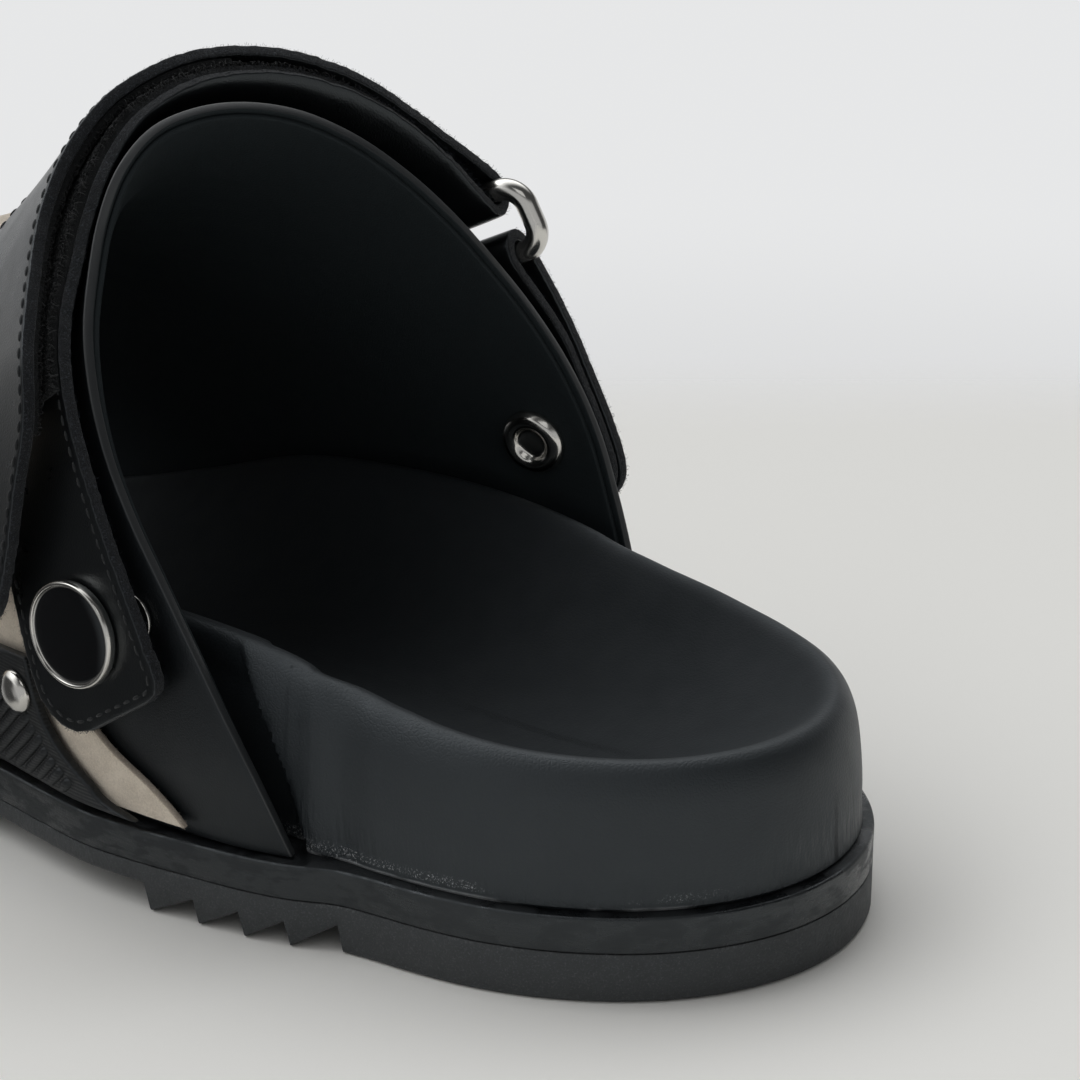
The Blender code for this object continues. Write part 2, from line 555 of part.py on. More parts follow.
def ring(steps=5):
    """A wire bent to a rectangle with round corners."""
    middle, girth, bar, out = ring_frame()
    a, b = RING_PITCH / 2, RING_INSIDE / 2 + WIRE_RADIUS
    path = []
    for k, (sa, sb) in enumerate(((1, 1), (-1, 1), (-1, -1), (1, -1))):
        for angle in np.radians(np.linspace(k * 90, k * 90 + 90, steps)):
            along = sa * (a - RING_CORNER) + RING_CORNER * math.cos(angle)
            across = sb * (b - RING_CORNER) + RING_CORNER * math.sin(angle)
            path.append(middle + girth * along + bar * across)
    curve = bpy.data.curves.new("ring", "CURVE")
    curve.dimensions = "3D"
    curve.bevel_depth = WIRE_RADIUS * MM
    curve.bevel_resolution = 3
    spline_of_ring = curve.splines.new("POLY")
    spline_of_ring.points.add(len(path) - 1)
    for point, place in zip(spline_of_ring.points, path):
        point.co = (*(place * MM), 1.0)
    spline_of_ring.use_cyclic_u = True
    return bpy.data.objects.new("ring", curve)


def seat(u, back, offset):
    v = back / vamp_length(np.asarray(u))
    out = vamp_normal(u, v)
    return vamp(u, v) + out * offset, out


def strap_face():
    """Offset of the strap's outer face at its snap."""
    return SNAP_STRAP_OFF + STRAP_WALL / 2


def snap_cap():
    return turned("snap_cap", SNAP_CAP_R_Z, *seat(SNAP_U, SNAP_BACK, strap_face() + GAP), 24)


def snap_inlay():
    return turned("snap_inlay", SNAP_INLAY_R_Z, *seat(SNAP_U, SNAP_BACK, strap_face() + GAP), 24)


def snap_post():
    room = strap_face() - STRAP_WALL - 3 * GAP
    profile = ((0, room), (SNAP_POST_R, room), (SNAP_POST_R, 0), (0, 0))
    return turned("snap_post", profile, *seat(SNAP_U, SNAP_BACK, GAP), 16)


def spare_stud():
    return turned("spare_stud", SPARE_STUD_R_Z, *seat(SPARE_U, SPARE_BACK, GAP), 20)


def socket_ring():
    place, out = seat(SOCKET_U, SOCKET_BACK, -VAMP_WALL - 2 * GAP)
    return turned("socket_ring", SOCKET_R_Z, place, -out, 24)


def tab_rivet():
    offset = SOCKET_TAB_OFF + TAB_WALL * 1.5 + GAP + TAB_RIVET_LIFT
    return turned("tab_rivet", TAB_RIVET_R_Z, *seat(SOCKET_U, SOCKET_BACK, offset), 20)


def guard_rivet():
    out = vamp_normal(GUARD_RIVET_U, GUARD_RIVET_V)
    place = vamp(GUARD_RIVET_U, GUARD_RIVET_V) + out * (GUARD_OFF + GUARD_WALL + GAP)
    return turned("guard_rivet", GUARD_RIVET_R_Z, place, out, 18)


BLACK_RUBBER = ((0.020, 0.020, 0.021), 0.0, 0.62)
BURNISHED_EDGE = ((0.014, 0.014, 0.015), 0.0, 0.28)
BED_LEATHER = ((0.022, 0.023, 0.025), 0.0, 0.5)
VAMP_LEATHER = ((0.018, 0.019, 0.021), 0.0, 0.45)
PALE_SUEDE = ((0.56, 0.47, 0.38), 0.0, 0.9)
RIBBED_RUBBER = ((0.016, 0.016, 0.017), 0.0, 0.6)
NICKEL = ((0.70, 0.70, 0.68), 1.0, 0.2)
DARK_FACE = ((0.012, 0.012, 0.013), 0.0, 0.12)


def pieces():
    """Every piece of the sandal with its colour, metallic value and roughness."""
    return (
        (outsole(), BLACK_RUBBER),
        (midsole(), BURNISHED_EDGE),
        (footbed(), BED_LEATHER),
        (upper(), VAMP_LEATHER),
        (suede_panel(), PALE_SUEDE),
        (guard("guard_medial", False), RIBBED_RUBBER),
        (guard("guard_lateral", True), RIBBED_RUBBER),
        (strap(), VAMP_LEATHER),
        (ring(), NICKEL),
        (ring_tab(), VAMP_LEATHER),
        (snap_cap(), NICKEL),
        (snap_inlay(), DARK_FACE),
        (snap_post(), NICKEL),
        (spare_stud(), NICKEL),
        (socket_ring(), NICKEL),
        (tab_rivet(), NICKEL),
        (guard_rivet(), NICKEL),
    )


def paint(piece, colour, metal, rough):
    finish = bpy.data.materials.new(piece.name)
    finish.use_nodes = True
    shader = finish.node_tree.nodes["Principled BSDF"]
    shader.inputs["Base Color"].default_value = (*colour, 1.0)
    shader.inputs["Metallic"].default_value = metal
    shader.inputs["Roughness"].default_value = rough
    piece.data.materials.append(finish)


def bounds(objects):
    """Lowest and highest corner of the objects as they are evaluated."""
    view = bpy.context.evaluated_depsgraph_get()
    corners = []
    for piece in objects:
        made = piece.evaluated_get(view)
        mesh = made.to_mesh()
        corners += [piece.matrix_world @ v.co for v in mesh.vertices]
        made.to_mesh_clear()
    corners = np.asarray(corners)
    return corners.min(axis=0), corners.max(axis=0)


def main():
    for old in list(bpy.data.objects):
        bpy.data.objects.remove(old)
    home = bpy.data.collections.new("sandal")
    bpy.context.scene.collection.children.link(home)
    objects = []
    for piece, finish in pieces():
        paint(piece, *finish)
        home.objects.link(piece)
        objects.append(piece)
    bpy.context.view_layer.update()
    low, high = bounds(objects)
    base = bpy.data.objects.new("base_middle", None)
    base.location = (-(low[0] + high[0]) / 2, -(low[1] + high[1]) / 2, -low[2])
    home.objects.link(base)
    for piece in objects:
        piece.parent = base
    print("moved by", [round(-c / MM, 4) for c in base.location])


main()
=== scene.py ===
"""Looks of the right sandal, laid over its solids in the frame that they share.

Tables are in millimetres, as in the part's own source: x to the wearer's right, y from the back of the heel
to the toe, z up from the ground. Meshes are in metres, with the origin in the middle of the base.
"""

import math

import bpy
import numpy as np
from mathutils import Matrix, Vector

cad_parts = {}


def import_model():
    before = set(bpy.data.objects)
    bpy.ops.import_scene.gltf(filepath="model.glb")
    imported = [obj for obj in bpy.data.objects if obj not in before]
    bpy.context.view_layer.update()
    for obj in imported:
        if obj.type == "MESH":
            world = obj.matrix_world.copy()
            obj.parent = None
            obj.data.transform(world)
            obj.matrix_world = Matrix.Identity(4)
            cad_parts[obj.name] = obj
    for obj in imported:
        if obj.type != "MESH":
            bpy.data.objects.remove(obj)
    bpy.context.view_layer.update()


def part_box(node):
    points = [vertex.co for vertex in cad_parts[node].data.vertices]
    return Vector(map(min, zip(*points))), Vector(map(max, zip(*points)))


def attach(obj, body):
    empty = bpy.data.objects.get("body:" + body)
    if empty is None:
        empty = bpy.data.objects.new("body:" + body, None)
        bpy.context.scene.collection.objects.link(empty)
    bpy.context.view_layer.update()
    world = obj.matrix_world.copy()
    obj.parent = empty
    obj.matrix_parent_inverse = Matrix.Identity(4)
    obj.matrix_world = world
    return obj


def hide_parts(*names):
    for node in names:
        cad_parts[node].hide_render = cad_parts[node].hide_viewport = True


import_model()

MM = 0.001
GAP = 0.3

SOLE_TOP = 12.26
OUTSOLE_TOP = 7.0
TOE_SPRING_FROM = 222.0
TOE_SPRING = 9.0
LENGTH = 285.0
HALF_WIDTH = 42.0

VAMP_WALL = 2.4
SUEDE_WALL = 1.1
GUARD_WALL = 1.5
SUEDE_OFF = 0.6
GUARD_OFF = 2.3
STRAP_WALL = 1.8
STRAP_WIDTH = 22.0
TAB_WALL = 1.9
WIRE_RADIUS = 1.7
RING_PITCH = 10.1
RING_INSIDE = 26.6
RING_U = 0.7018
RING_BACK = 0.3
RING_STANDOFF = (8.2, 6.4)
RING_TILT = -25.0
FOLD_ROWS = 15

# Sole outline from the back of the heel, along the lateral side, round the toe and back on the medial side.
OUTLINE_X_Y = (
    (0.0, 0.0), (9.84, 1.6), (19.0, 6.27), (26.9, 13.7), (32.9, 23.4), (36.7, 34.7), (38.0, 46.0),
    (39.2, 51.5), (41.0, 57.5), (42.2, 66.0), (43.0, 80.0), (44.0, 105.0), (45.2, 125.0), (47.4, 150.0),
    (49.8, 175.0), (51.0, 195.0), (50.0, 215.0), (46.2, 235.0), (38.8, 255.0), (27.0, 271.5), (13.0, 281.5),
    (-2.0, 285.0),
    (-17.0, 282.0), (-31.0, 272.5), (-41.0, 257.0), (-46.6, 238.0), (-48.3, 218.0), (-47.0, 198.0),
    (-43.0, 178.0), (-38.6, 158.0), (-36.4, 140.0), (-36.8, 127.0), (-38.4, 118.0), (-41.0, 107.0),
    (-43.0, 97.0), (-43.2, 88.0), (-42.7, 78.0), (-42.1, 70.0), (-40.7, 62.5), (-38.6, 56.5), (-38.1, 51.0),
    (-38.0, 46.0), (-36.7, 34.7), (-32.9, 23.4), (-26.9, 13.7), (-19.0, 6.27), (-9.84, 1.6),
)

# Underside along the length: heel flat, breast, four teeth with a steep toe-side face, arch, forefoot flat.
UNDERSIDE_Y_Z = (
    (0.0, 0.0), (55.8, 0.0), (56.5, 3.9), (62.9, 0.0), (63.8, 3.5), (69.8, 0.0), (70.7, 3.5), (77.3, 0.0),
    (78.2, 3.5), (85.5, 0.0), (86.5, 3.9), (92.0, 4.0), (122.0, 4.0), (132.0, 2.6), (141.0, 0.5),
    (147.0, 0.0), (285.0, 0.0),
)

# Inset of the vamp's outer face, and of the footbed's wall on each side, from the sole outline.
INSET_Y_VAMP_MEDIAL_LATERAL = (
    (0.0, 0.8, 1.6, 1.6), (43.0, 0.8, 1.6, 1.6), (48.0, 0.8, 1.6, 2.7), (53.0, 0.8, 1.8, 4.2),
    (58.0, 0.8, 2.9, 5.0), (63.0, 0.9, 4.4, 5.5), (75.0, 1.3, 5.7, 5.8), (95.0, 3.3, 7.0, 7.0),
    (190.0, 3.3, 6.4, 6.4), (206.0, 3.0, 6.0, 6.0), (218.0, 2.4, 2.2, 2.2), (285.0, 2.0, 2.0, 2.0),
)

# Crest of the footbed's rim on each side, and the floor of its dish, along the length.
BED_Y_MEDIAL_LATERAL_DISH = (
    (0.0, 31.7, 31.7, 23.0), (12.0, 31.6, 31.5, 22.0), (24.0, 31.95, 31.55, 21.0), (34.0, 32.5, 32.5, 20.2),
    (46.0, 33.8, 35.5, 20.0), (54.0, 35.3, 37.8, 20.4), (60.0, 36.9, 39.1, 20.8), (65.0, 38.05, 40.1, 21.2),
    (73.0, 39.35, 41.2, 22.0), (80.0, 40.1, 42.0, 22.6), (96.0, 40.8, 42.6, 23.4), (114.0, 40.0, 41.2, 22.8),
    (135.0, 35.5, 35.0, 20.4),
    (160.0, 29.0, 28.0, 18.2), (190.0, 23.0, 23.0, 16.8), (225.0, 21.2, 21.2, 16.8),
    (260.0, 21.2, 21.2, 17.0), (285.0, 21.2, 21.2, 17.4),
)

# Edges of the vamp from the medial base, over the instep, to the lateral base. The back edge is as measured
# in the photograph; the three further forward give x as a share of the vamp's half-width.
REAR_X_Y_Z = (
    (-39.3, 63.23, 12.56), (-41.3, 67.25, 23.1), (-42.0, 72.94, 33.6), (-42.1, 77.23, 41.2),
    (-42.0, 81.79, 48.7), (-41.7, 86.46, 56.0), (-40.75, 91.37, 64.52), (-39.13, 95.11, 73.0),
    (-35.9, 98.46, 80.16), (-31.67, 100.95, 86.41), (-27.26, 102.8, 92.56), (-22.6, 103.2, 98.56),
    (-16.6, 101.8, 103.53), (-10.24, 98.9, 105.59), (-2.94, 95.4, 105.55), (3.26, 91.54, 103.86),
    (9.42, 87.37, 100.28), (16.53, 82.9, 94.14), (22.55, 78.93, 87.27), (28.51, 75.67, 79.56),
    (34.05, 72.17, 71.09), (38.37, 68.19, 61.41), (40.76, 64.63, 51.6), (41.5, 61.8, 42.12),
    (41.3, 59.2, 33.6), (40.2, 56.2, 23.0), (38.8, 53.2, 12.56),
)
INSTEP_SHARE_Y_Z = (
    (-1.0, 97.0, 12.56), (-1.03, 99.0, 24.0), (-1.06, 102.0, 36.0), (-1.06, 105.5, 46.0),
    (-1.04, 109.0, 56.0), (-0.98, 112.5, 65.0), (-0.86, 116.0, 73.5), (-0.7, 118.5, 80.5),
    (-0.5, 119.5, 86.2), (-0.28, 119.0, 90.2), (-0.08, 117.0, 91.5), (0.12, 114.0, 90.4), (0.3, 111.0, 86.6),
    (0.46, 108.0, 80.8), (0.62, 104.5, 72.5), (0.79, 101.0, 62.5), (0.93, 97.5, 51.5), (1.02, 94.5, 40.0),
    (1.04, 91.5, 27.0), (1.0, 89.0, 12.56),
)
MIDDLE_SHARE_Y_Z = (
    (-1.0, 132.0, 12.56), (-1.06, 133.0, 25.0), (-1.1, 134.5, 37.0), (-1.08, 136.5, 48.0),
    (-1.0, 139.5, 58.5), (-0.86, 142.5, 68.0), (-0.66, 144.5, 75.5), (-0.44, 145.0, 80.0),
    (-0.2, 144.0, 81.8), (0.05, 141.5, 81.0), (0.28, 138.5, 77.5), (0.5, 135.5, 71.0), (0.71, 132.5, 61.5),
    (0.89, 129.8, 50.0), (1.0, 128.0, 38.0), (1.03, 126.5, 25.0), (1.0, 125.0, 12.56),
)
FRONT_SHARE_Y_Z = (
    (-1.0, 205.0, 12.56), (-1.01, 203.0, 25.0), (-0.98, 200.0, 36.0), (-0.9, 196.0, 45.0),
    (-0.75, 192.5, 52.5), (-0.5, 189.5, 58.0), (-0.2, 187.8, 60.5), (0.15, 187.4, 60.0), (0.45, 188.4, 56.5),
    (0.7, 190.6, 50.5), (0.88, 193.8, 42.0), (0.97, 197.0, 33.0), (1.0, 199.5, 24.0), (1.0, 202.0, 12.56),
)
EDGE_V = (0.0, 0.25, 0.5, 1.0)
MIDDLE_BAND = 0.5

# Back edge of the pale panel, and of each ribbed guard over it, as shares of the way to the front.
SUEDE_U_V = (
    (0.0, 0.105), (0.02, 0.128), (0.035, 0.157), (0.045, 0.183), (0.0735, 0.225), (0.1055, 0.25),
    (0.16, 0.29), (0.28, 0.36), (0.5, 0.38), (0.72, 0.36), (0.84, 0.29), (0.8945, 0.25), (0.9265, 0.225),
    (0.955, 0.183), (0.965, 0.157), (0.98, 0.128), (1.0, 0.105),
)
GUARD_RISE_V = (
    (0.005, 0.146), (0.0115, 0.196), (0.0245, 0.227), (0.0445, 0.264), (0.061, 0.28), (0.081, 0.284),
    (0.1055, 0.28),
)

# Strips over the vamp. Each row crosses the strip, with its back point and then its front point: share of
# the girth, distance from the vamp's back edge, and offset of the strip's middle from the vamp.
INNER_BACK_FRONT = (
    (0.1035, 5.8, 3.65, 0.05, 33.0, 4.05), (0.12, 5.3, 3.6, 0.072, 34.0, 3.85),
    (0.14, 4.7, 3.55, 0.098, 34.0, 3.7), (0.17, 3.5, 3.4, 0.132, 33.2, 3.4),
    (0.216, 1.7, 3.2, 0.1827, 31.2, 3.0), (0.249, 0.5, 3.1, 0.2176, 29.8, 2.5),
    (0.284, 0.2, 2.8, 0.2537, 28.9, 2.0), (0.32, 0.3, 2.2, 0.2952, 28.4, 1.6),
    (0.3623, 0.6, 1.4, 0.3576, 27.4, 1.35), (0.4178, 0.9, 1.8, 0.438, 26.6, 1.35),
    (0.4987, 0.7, 5.3, 0.526, 24.6, 1.6), (0.566, 0.5, 7.3, 0.587, 22.6, 2.5),
    (0.613, 0.5, 8.4, 0.6249, 22.3, 3.6), (0.648, 0.5, 8.5, 0.654, 22.2, 4.8),
)
OUTER_BACK_FRONT = (
    (0.655, 0.5, 12.1, 0.66, 22.6, 8.9), (0.624, 0.5, 10.9, 0.633, 22.5, 6.6),
    (0.566, 0.5, 10.25, 0.586, 22.8, 5.3), (0.4986, 0.9, 9.4, 0.527, 25.2, 4.6),
    (0.418, 1.6, 7.2, 0.438, 29.0, 4.4), (0.3624, 1.2, 6.8, 0.356, 30.2, 4.5),
    (0.3188, 0.3, 6.9, 0.299, 30.0, 5.2), (0.2911, 1.2, 7.7, 0.279, 29.8, 6.0),
    (0.2664, 5.6, 7.7, 0.269, 30.2, 6.6), (0.2379, 12.0, 7.6, 0.256, 32.4, 6.9),
    (0.212, 17.2, 7.45, 0.24, 35.6, 7.1), (0.1861, 22.2, 7.3, 0.2211, 39.2, 7.2),
    (0.1611, 27.2, 7.2, 0.202, 43.2, 7.2), (0.136, 32.2, 7.2, 0.1793, 48.0, 7.2),
    (0.116, 36.2, 7.2, 0.1604, 52.2, 7.2),
)
TAB_BACK_FRONT = (
    (0.8884, 1.63, 1.4, 0.8881, 20.61, 1.4), (0.8565, 0.97, 1.7, 0.8561, 21.87, 1.5),
    (0.8316, 0.93, 1.75, 0.8311, 22.71, 1.6), (0.8045, 0.99, 2.3, 0.8041, 22.66, 1.8),
    (0.7816, 0.96, 3.3, 0.7811, 22.57, 2.3),
)
TAB_SPREAD = 0.5
# Angles of each strip's turn round its bar of the ring, and where the strap's front edge rests on the vamp.
STRAP_TURN = (-65.0, 128.0)
TAB_TURN = (-115.0, 78.0)
STRAP_RESTS_U = (0.34, 0.1)
# Radii of the corners at a strip's start and end, on its back edge and on its front edge.
STRAP_ENDS_ROUND = ((3.0, 8.0), (8.0, 8.0))
TAB_ENDS_ROUND = ((7.0, 7.0), (7.0, 7.0))
RING_CORNER = 3.6

SNAP_U, SNAP_BACK = 0.1342, 19.84
SNAP_STRAP_OFF = 2.8
SPARE_U, SPARE_BACK = 0.1424, 11.24
SOCKET_U, SOCKET_BACK = 0.834, 11.57
SOCKET_TAB_OFF = 1.75
GUARD_RIVET_U, GUARD_RIVET_V = 0.0769, 0.3134
TAB_RIVET_LIFT = 0.5
TAB_RIVET_SUNK = 0.3

# Turned fasteners: radius and height from the top down.
SNAP_CAP_R_Z = (
    (0, 1.5), (6.8, 1.5), (7.0, 2.0), (7.4, 1.9), (7.6, 1.4), (7.5, 0.5), (6.8, 0), (0, 0),
)
SNAP_INLAY_R_Z = ((0, 2.05), (2.7, 2.02), (5.0, 1.93), (6.2, 1.8), (6.65, 1.66), (6.75, 1.45))
SNAP_POST_R = 1.9
SPARE_STUD_R_Z = ((0, 1.3), (2.3, 1.2), (3.0, 0.8), (3.8, 0.6), (3.8, 0), (0, 0))
SOCKET_R_Z = (
    (0, 0.6), (2.3, 0.8), (2.9, 1.8), (3.8, 2.1), (4.7, 1.8), (5.3, 0.9), (5.3, 0), (0, 0),
)
TAB_RIVET_R_Z = ((0, 1.7), (2.2, 1.6), (4.2, 1.3), (5.4, 0.7), (5.6, 0), (0, 0))
GUARD_RIVET_R_Z = ((0, 2.0), (1.5, 1.8), (2.6, 1.3), (3.2, 0.6), (3.3, 0), (0, 0))

# Turn of the footbed's wall into its rim: how far in, and how far below the crest as a share of the wall.
RIM_DEEPER_DROP = (
    (0.4, 0.62), (0.9, 0.36), (1.5, 0.2), (2.4, 0.085), (3.4, 0.025), (4.6, 0.0), (6.2, 0.03),
    (8.4, 0.11),
)
RIM_WALL_MOST = 20.0
DISH_SPINE = (36.0, 252.0)
DISH_POWER = 2.2
EDGE_BREAK = 0.7
SUEDE_ENDS_U = (0.008, 0.992)
SUEDE_FRONT_V = 0.99
GUARD_FRONT_V = 0.98
GUARD_U = (0.0075, 0.0115, 0.0175, 0.0275, 0.042, 0.0605, 0.0805, 0.1045)


def spline(knots, values, at):
    """Cubic through the rows of values at their knots, read at the given places."""
    knots = np.asarray(knots, float)
    values = np.asarray(values, float)
    at = np.atleast_1d(np.asarray(at, float))
    if values.ndim == 1:
        return spline(knots, values[:, None], at)[:, 0]
    step = np.diff(knots)[:, None]
    rise = np.diff(values, axis=0) / step
    inside = (rise[:-1] * step[1:] + rise[1:] * step[:-1]) / (step[:-1] + step[1:])
    slope = np.vstack([rise[:1], inside, rise[-1:]])
    i = np.clip(np.searchsorted(knots, at, side="right") - 1, 0, len(knots) - 2)
    h = step[i]
    s = (at - knots[i])[:, None] / h
    held = (2 * s**3 - 3 * s**2 + 1) * values[i] + (3 * s**2 - 2 * s**3) * values[i + 1]
    return held + (s**3 - 2 * s**2 + s) * h * slope[i] + (s**3 - s**2) * h * slope[i + 1]


def column(table, place, index):
    """One column of a table, read smoothly at a place in its first column."""
    rows = sorted(table)
    return spline([row[0] for row in rows], [row[index] for row in rows], place)


def lengths(points):
    steps = np.linalg.norm(np.diff(points, axis=0), axis=1)
    return np.concatenate([[0.0], np.cumsum(steps)])


def plateau(place, middle, reach):
    """Near 1 within reach of the middle, falling off smoothly to 0 beyond it."""
    return np.exp(-(((place - middle) / reach) ** 4))


def by_length(points, at):
    """A curve through points whose x is a share of the half-width, read at shares of its length."""
    points = np.asarray(points, float)
    steps = np.diff(points, axis=0) * (HALF_WIDTH, 1.0, 1.0)
    run = np.concatenate([[0.0], np.cumsum(np.linalg.norm(steps, axis=1))])
    return spline(run / run[-1], points, at)


def dense_outline(count=2400):
    points = np.asarray(OUTLINE_X_Y, float)
    wrapped = np.vstack([points[-3:], points, points[:4]])
    run = lengths(wrapped)
    return spline(run, wrapped, np.linspace(run[3], run[3 + len(points)], count, endpoint=False))


OUTLINE = dense_outline()
TOE = int(OUTLINE[:, 1].argmax())
LATERAL = OUTLINE[: TOE + 1]
MEDIAL = np.vstack([OUTLINE[TOE:], OUTLINE[:1]])[::-1]


def half_width(y, lateral):
    """Distance of the sole's edge from the middle line at a place along the length."""
    side = LATERAL if lateral else MEDIAL
    return np.abs(np.interp(y, side[:, 1], side[:, 0]))


def spring(y):
    ahead = (np.asarray(y, float) - TOE_SPRING_FROM) / (LENGTH - TOE_SPRING_FROM)
    return TOE_SPRING * np.clip(ahead, 0, 1) ** 2


def loop_of(stations):
    """Points round the outline and their inward normals: heel, lateral stations, toe, medial stations."""
    y = np.asarray(stations, float)
    heel, toe = OUTLINE[:1], OUTLINE[TOE : TOE + 1]
    lateral = np.column_stack([half_width(y, True), y])
    medial = np.column_stack([-half_width(y, False), y])[::-1]
    points = np.vstack([heel, lateral, toe, medial])
    ahead = np.roll(points, -1, axis=0) - points
    ahead /= np.linalg.norm(ahead, axis=1)[:, None]
    along = ahead + np.roll(ahead, 1, axis=0)
    along /= np.linalg.norm(along, axis=1)[:, None]
    return points, np.column_stack([-along[:, 1], along[:, 0]])


def lap(points, inward, inset, z):
    moved = points + inward * np.reshape(inset, (-1, 1))
    return np.column_stack([moved, np.broadcast_to(z, len(points))])


def share_of(points):
    """Edge points with x turned into a share of the vamp's half-width at their place along the length."""
    points = np.asarray(points, float).copy()
    points[:, 0] /= vamp_half(points[:, 0], points[:, 1])
    return points


def vamp_half(side, y):
    edge = np.where(np.asarray(side) > 0, half_width(y, True), half_width(y, False))
    return edge - column(INSET_Y_VAMP_MEDIAL_LATERAL, y, 1)


VAMP_EDGES = (share_of(REAR_X_Y_Z), INSTEP_SHARE_Y_Z, MIDDLE_SHARE_Y_Z, FRONT_SHARE_Y_Z)


def blend_edges(edges, v):
    """A point for each share v of the way forward, on a cubic through the four edges."""
    place = np.zeros_like(edges[0])
    for k, own in enumerate(EDGE_V):
        weight = np.ones(len(v))
        for other in EDGE_V:
            if other != own:
                weight *= (v - other) / (own - other)
        place += weight[:, None] * edges[k]
    return place


def vamp(u, v):
    """Outer face of the vamp: u from the medial to the lateral base, v from the back edge to the front."""
    u, v = np.broadcast_arrays(np.asarray(u, float), np.asarray(v, float))
    shape = u.shape
    u, v = u.ravel(), v.ravel()
    place = blend_edges([by_length(edge, u) for edge in VAMP_EDGES], v)
    side = place[:, 0]
    blend = np.clip(0.5 + side / MIDDLE_BAND, 0, 1)
    half = vamp_half(-1.0, place[:, 1]) * (1 - blend) + vamp_half(1.0, place[:, 1]) * blend
    return np.column_stack([side * half, place[:, 1], place[:, 2]]).reshape(shape + (3,))


def vamp_normal(u, v):
    du, dv = 0.004, 0.006
    u, v = np.broadcast_arrays(np.asarray(u, float), np.asarray(v, float))
    across = vamp(np.minimum(u + du, 1), v) - vamp(np.maximum(u - du, 0), v)
    along = vamp(u, np.minimum(v + dv, 1)) - vamp(u, np.maximum(v - dv, 0))
    normal = np.cross(across, along)
    return normal / np.linalg.norm(normal, axis=-1, keepdims=True)


def off_vamp(u, v, offset):
    return vamp(u, v) + vamp_normal(u, v) * np.asarray(offset, float)[..., None]


def vamp_length(u):
    """Length of the vamp from its back edge to its front at a share of the girth, in millimetres."""
    return np.linalg.norm(vamp(u, 1.0) - vamp(u, 0.0), axis=-1)


def ring_frame():
    """Middle of the tilted ring with its girth, bar and outward directions."""
    u = np.asarray(RING_U)
    reach = np.array([RING_BACK, RING_BACK + STRAP_WIDTH]) / vamp_length(u)
    ends = off_vamp(u, reach, np.array(RING_STANDOFF))
    bar = ends[1] - ends[0]
    bar /= np.linalg.norm(bar)
    out = vamp_normal(u, reach.mean())
    out = out - bar * np.dot(bar, out)
    out /= np.linalg.norm(out)
    girth = np.cross(bar, out)
    cos, sin = math.cos(math.radians(RING_TILT)), math.sin(math.radians(RING_TILT))
    return ends.mean(axis=0), girth * cos + out * sin, bar, out * cos - girth * sin


def fold(sign, wall, start, stop):
    """Back and front points of a strip's turn round one bar of the ring; sign -1 is the upper bar."""
    middle, girth, bar, out = ring_frame()
    radius = WIRE_RADIUS + GAP + wall / 2
    axis = middle + girth * (sign * RING_PITCH / 2)
    angle = np.radians(np.linspace(start, stop, FOLD_ROWS))[:, None]
    turn = axis + radius * (np.cos(angle) * -sign * girth + np.sin(angle) * out)
    return turn - bar * STRAP_WIDTH / 2, turn + bar * STRAP_WIDTH / 2


def trimmed(run, radii):
    """How far an edge draws in along a strip to round its corners at the start and at the end."""
    trim = np.zeros(len(run))
    for radius, away in zip(radii, (run, run[-1] - run)):
        near = np.clip(1 - away / radius, 0, 1)
        trim = np.maximum(trim, radius * (1 - np.sqrt(np.clip(1 - near**2, 0, 1))))
    return trim


def strip_run(table):
    """Back and front points of a strip laid over the vamp."""
    edges = np.asarray(table, float).T.reshape(2, 3, -1)
    return [off_vamp(u, away / vamp_length(u), offset) for u, away, offset in edges]


SOLE_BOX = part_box("outsole")
ZERO = np.array([
    (SOLE_BOX[0][0] + SOLE_BOX[1][0]) / 2 - (OUTLINE[:, 0].min() + OUTLINE[:, 0].max()) / 2 * MM,
    SOLE_BOX[0][1],
    0.0,
])


class Value:
    """One output of a node; arithmetic on it adds Math nodes to its tree."""

    def __init__(self, tree, socket):
        self.tree = tree
        self.socket = socket

    def math(self, operation, *values):
        return self.tree.node("ShaderNodeMath", {"operation": operation}, values)

    def __add__(self, other):
        return self.math("ADD", self, other)

    def __radd__(self, other):
        return self.math("ADD", other, self)

    def __sub__(self, other):
        return self.math("SUBTRACT", self, other)

    def __rsub__(self, other):
        return self.math("SUBTRACT", other, self)

    def __mul__(self, other):
        return self.math("MULTIPLY", self, other)

    def __rmul__(self, other):
        return self.math("MULTIPLY", other, self)

    def sine(self):
        return self.math("SINE", self)

    def between(self, low, high):
        """Rises smoothly from 0 at low to 1 at high."""
        sockets = {"Value": self, "From Min": low, "From Max": high}
        return self.tree.node("ShaderNodeMapRange", {"interpolation_type": "SMOOTHSTEP"}, sockets)


class Tree:
    """A node tree that nodes are added to one by one."""

    def __init__(self, nodes):
        self.tree = nodes

    @staticmethod
    def pick(sockets, key):
        if isinstance(key, int):
            return sockets[key]
        return next(socket for socket in sockets if socket.name == key and socket.enabled)

    def node(self, kind, settings=None, sockets=None, out=0):
        made = self.tree.nodes.new(kind)
        for name, value in (settings or {}).items():
            setattr(made, name, value)
        named = sockets.items() if isinstance(sockets, dict) else enumerate(sockets or ())
        for key, value in named:
            socket = self.pick(made.inputs, key)
            if isinstance(value, Value):
                self.tree.links.new(value.socket, socket)
            else:
                socket.default_value = value
        return Value(self, self.pick(made.outputs, out))


COOL = (0.87, 0.95, 1.0, 1.0)


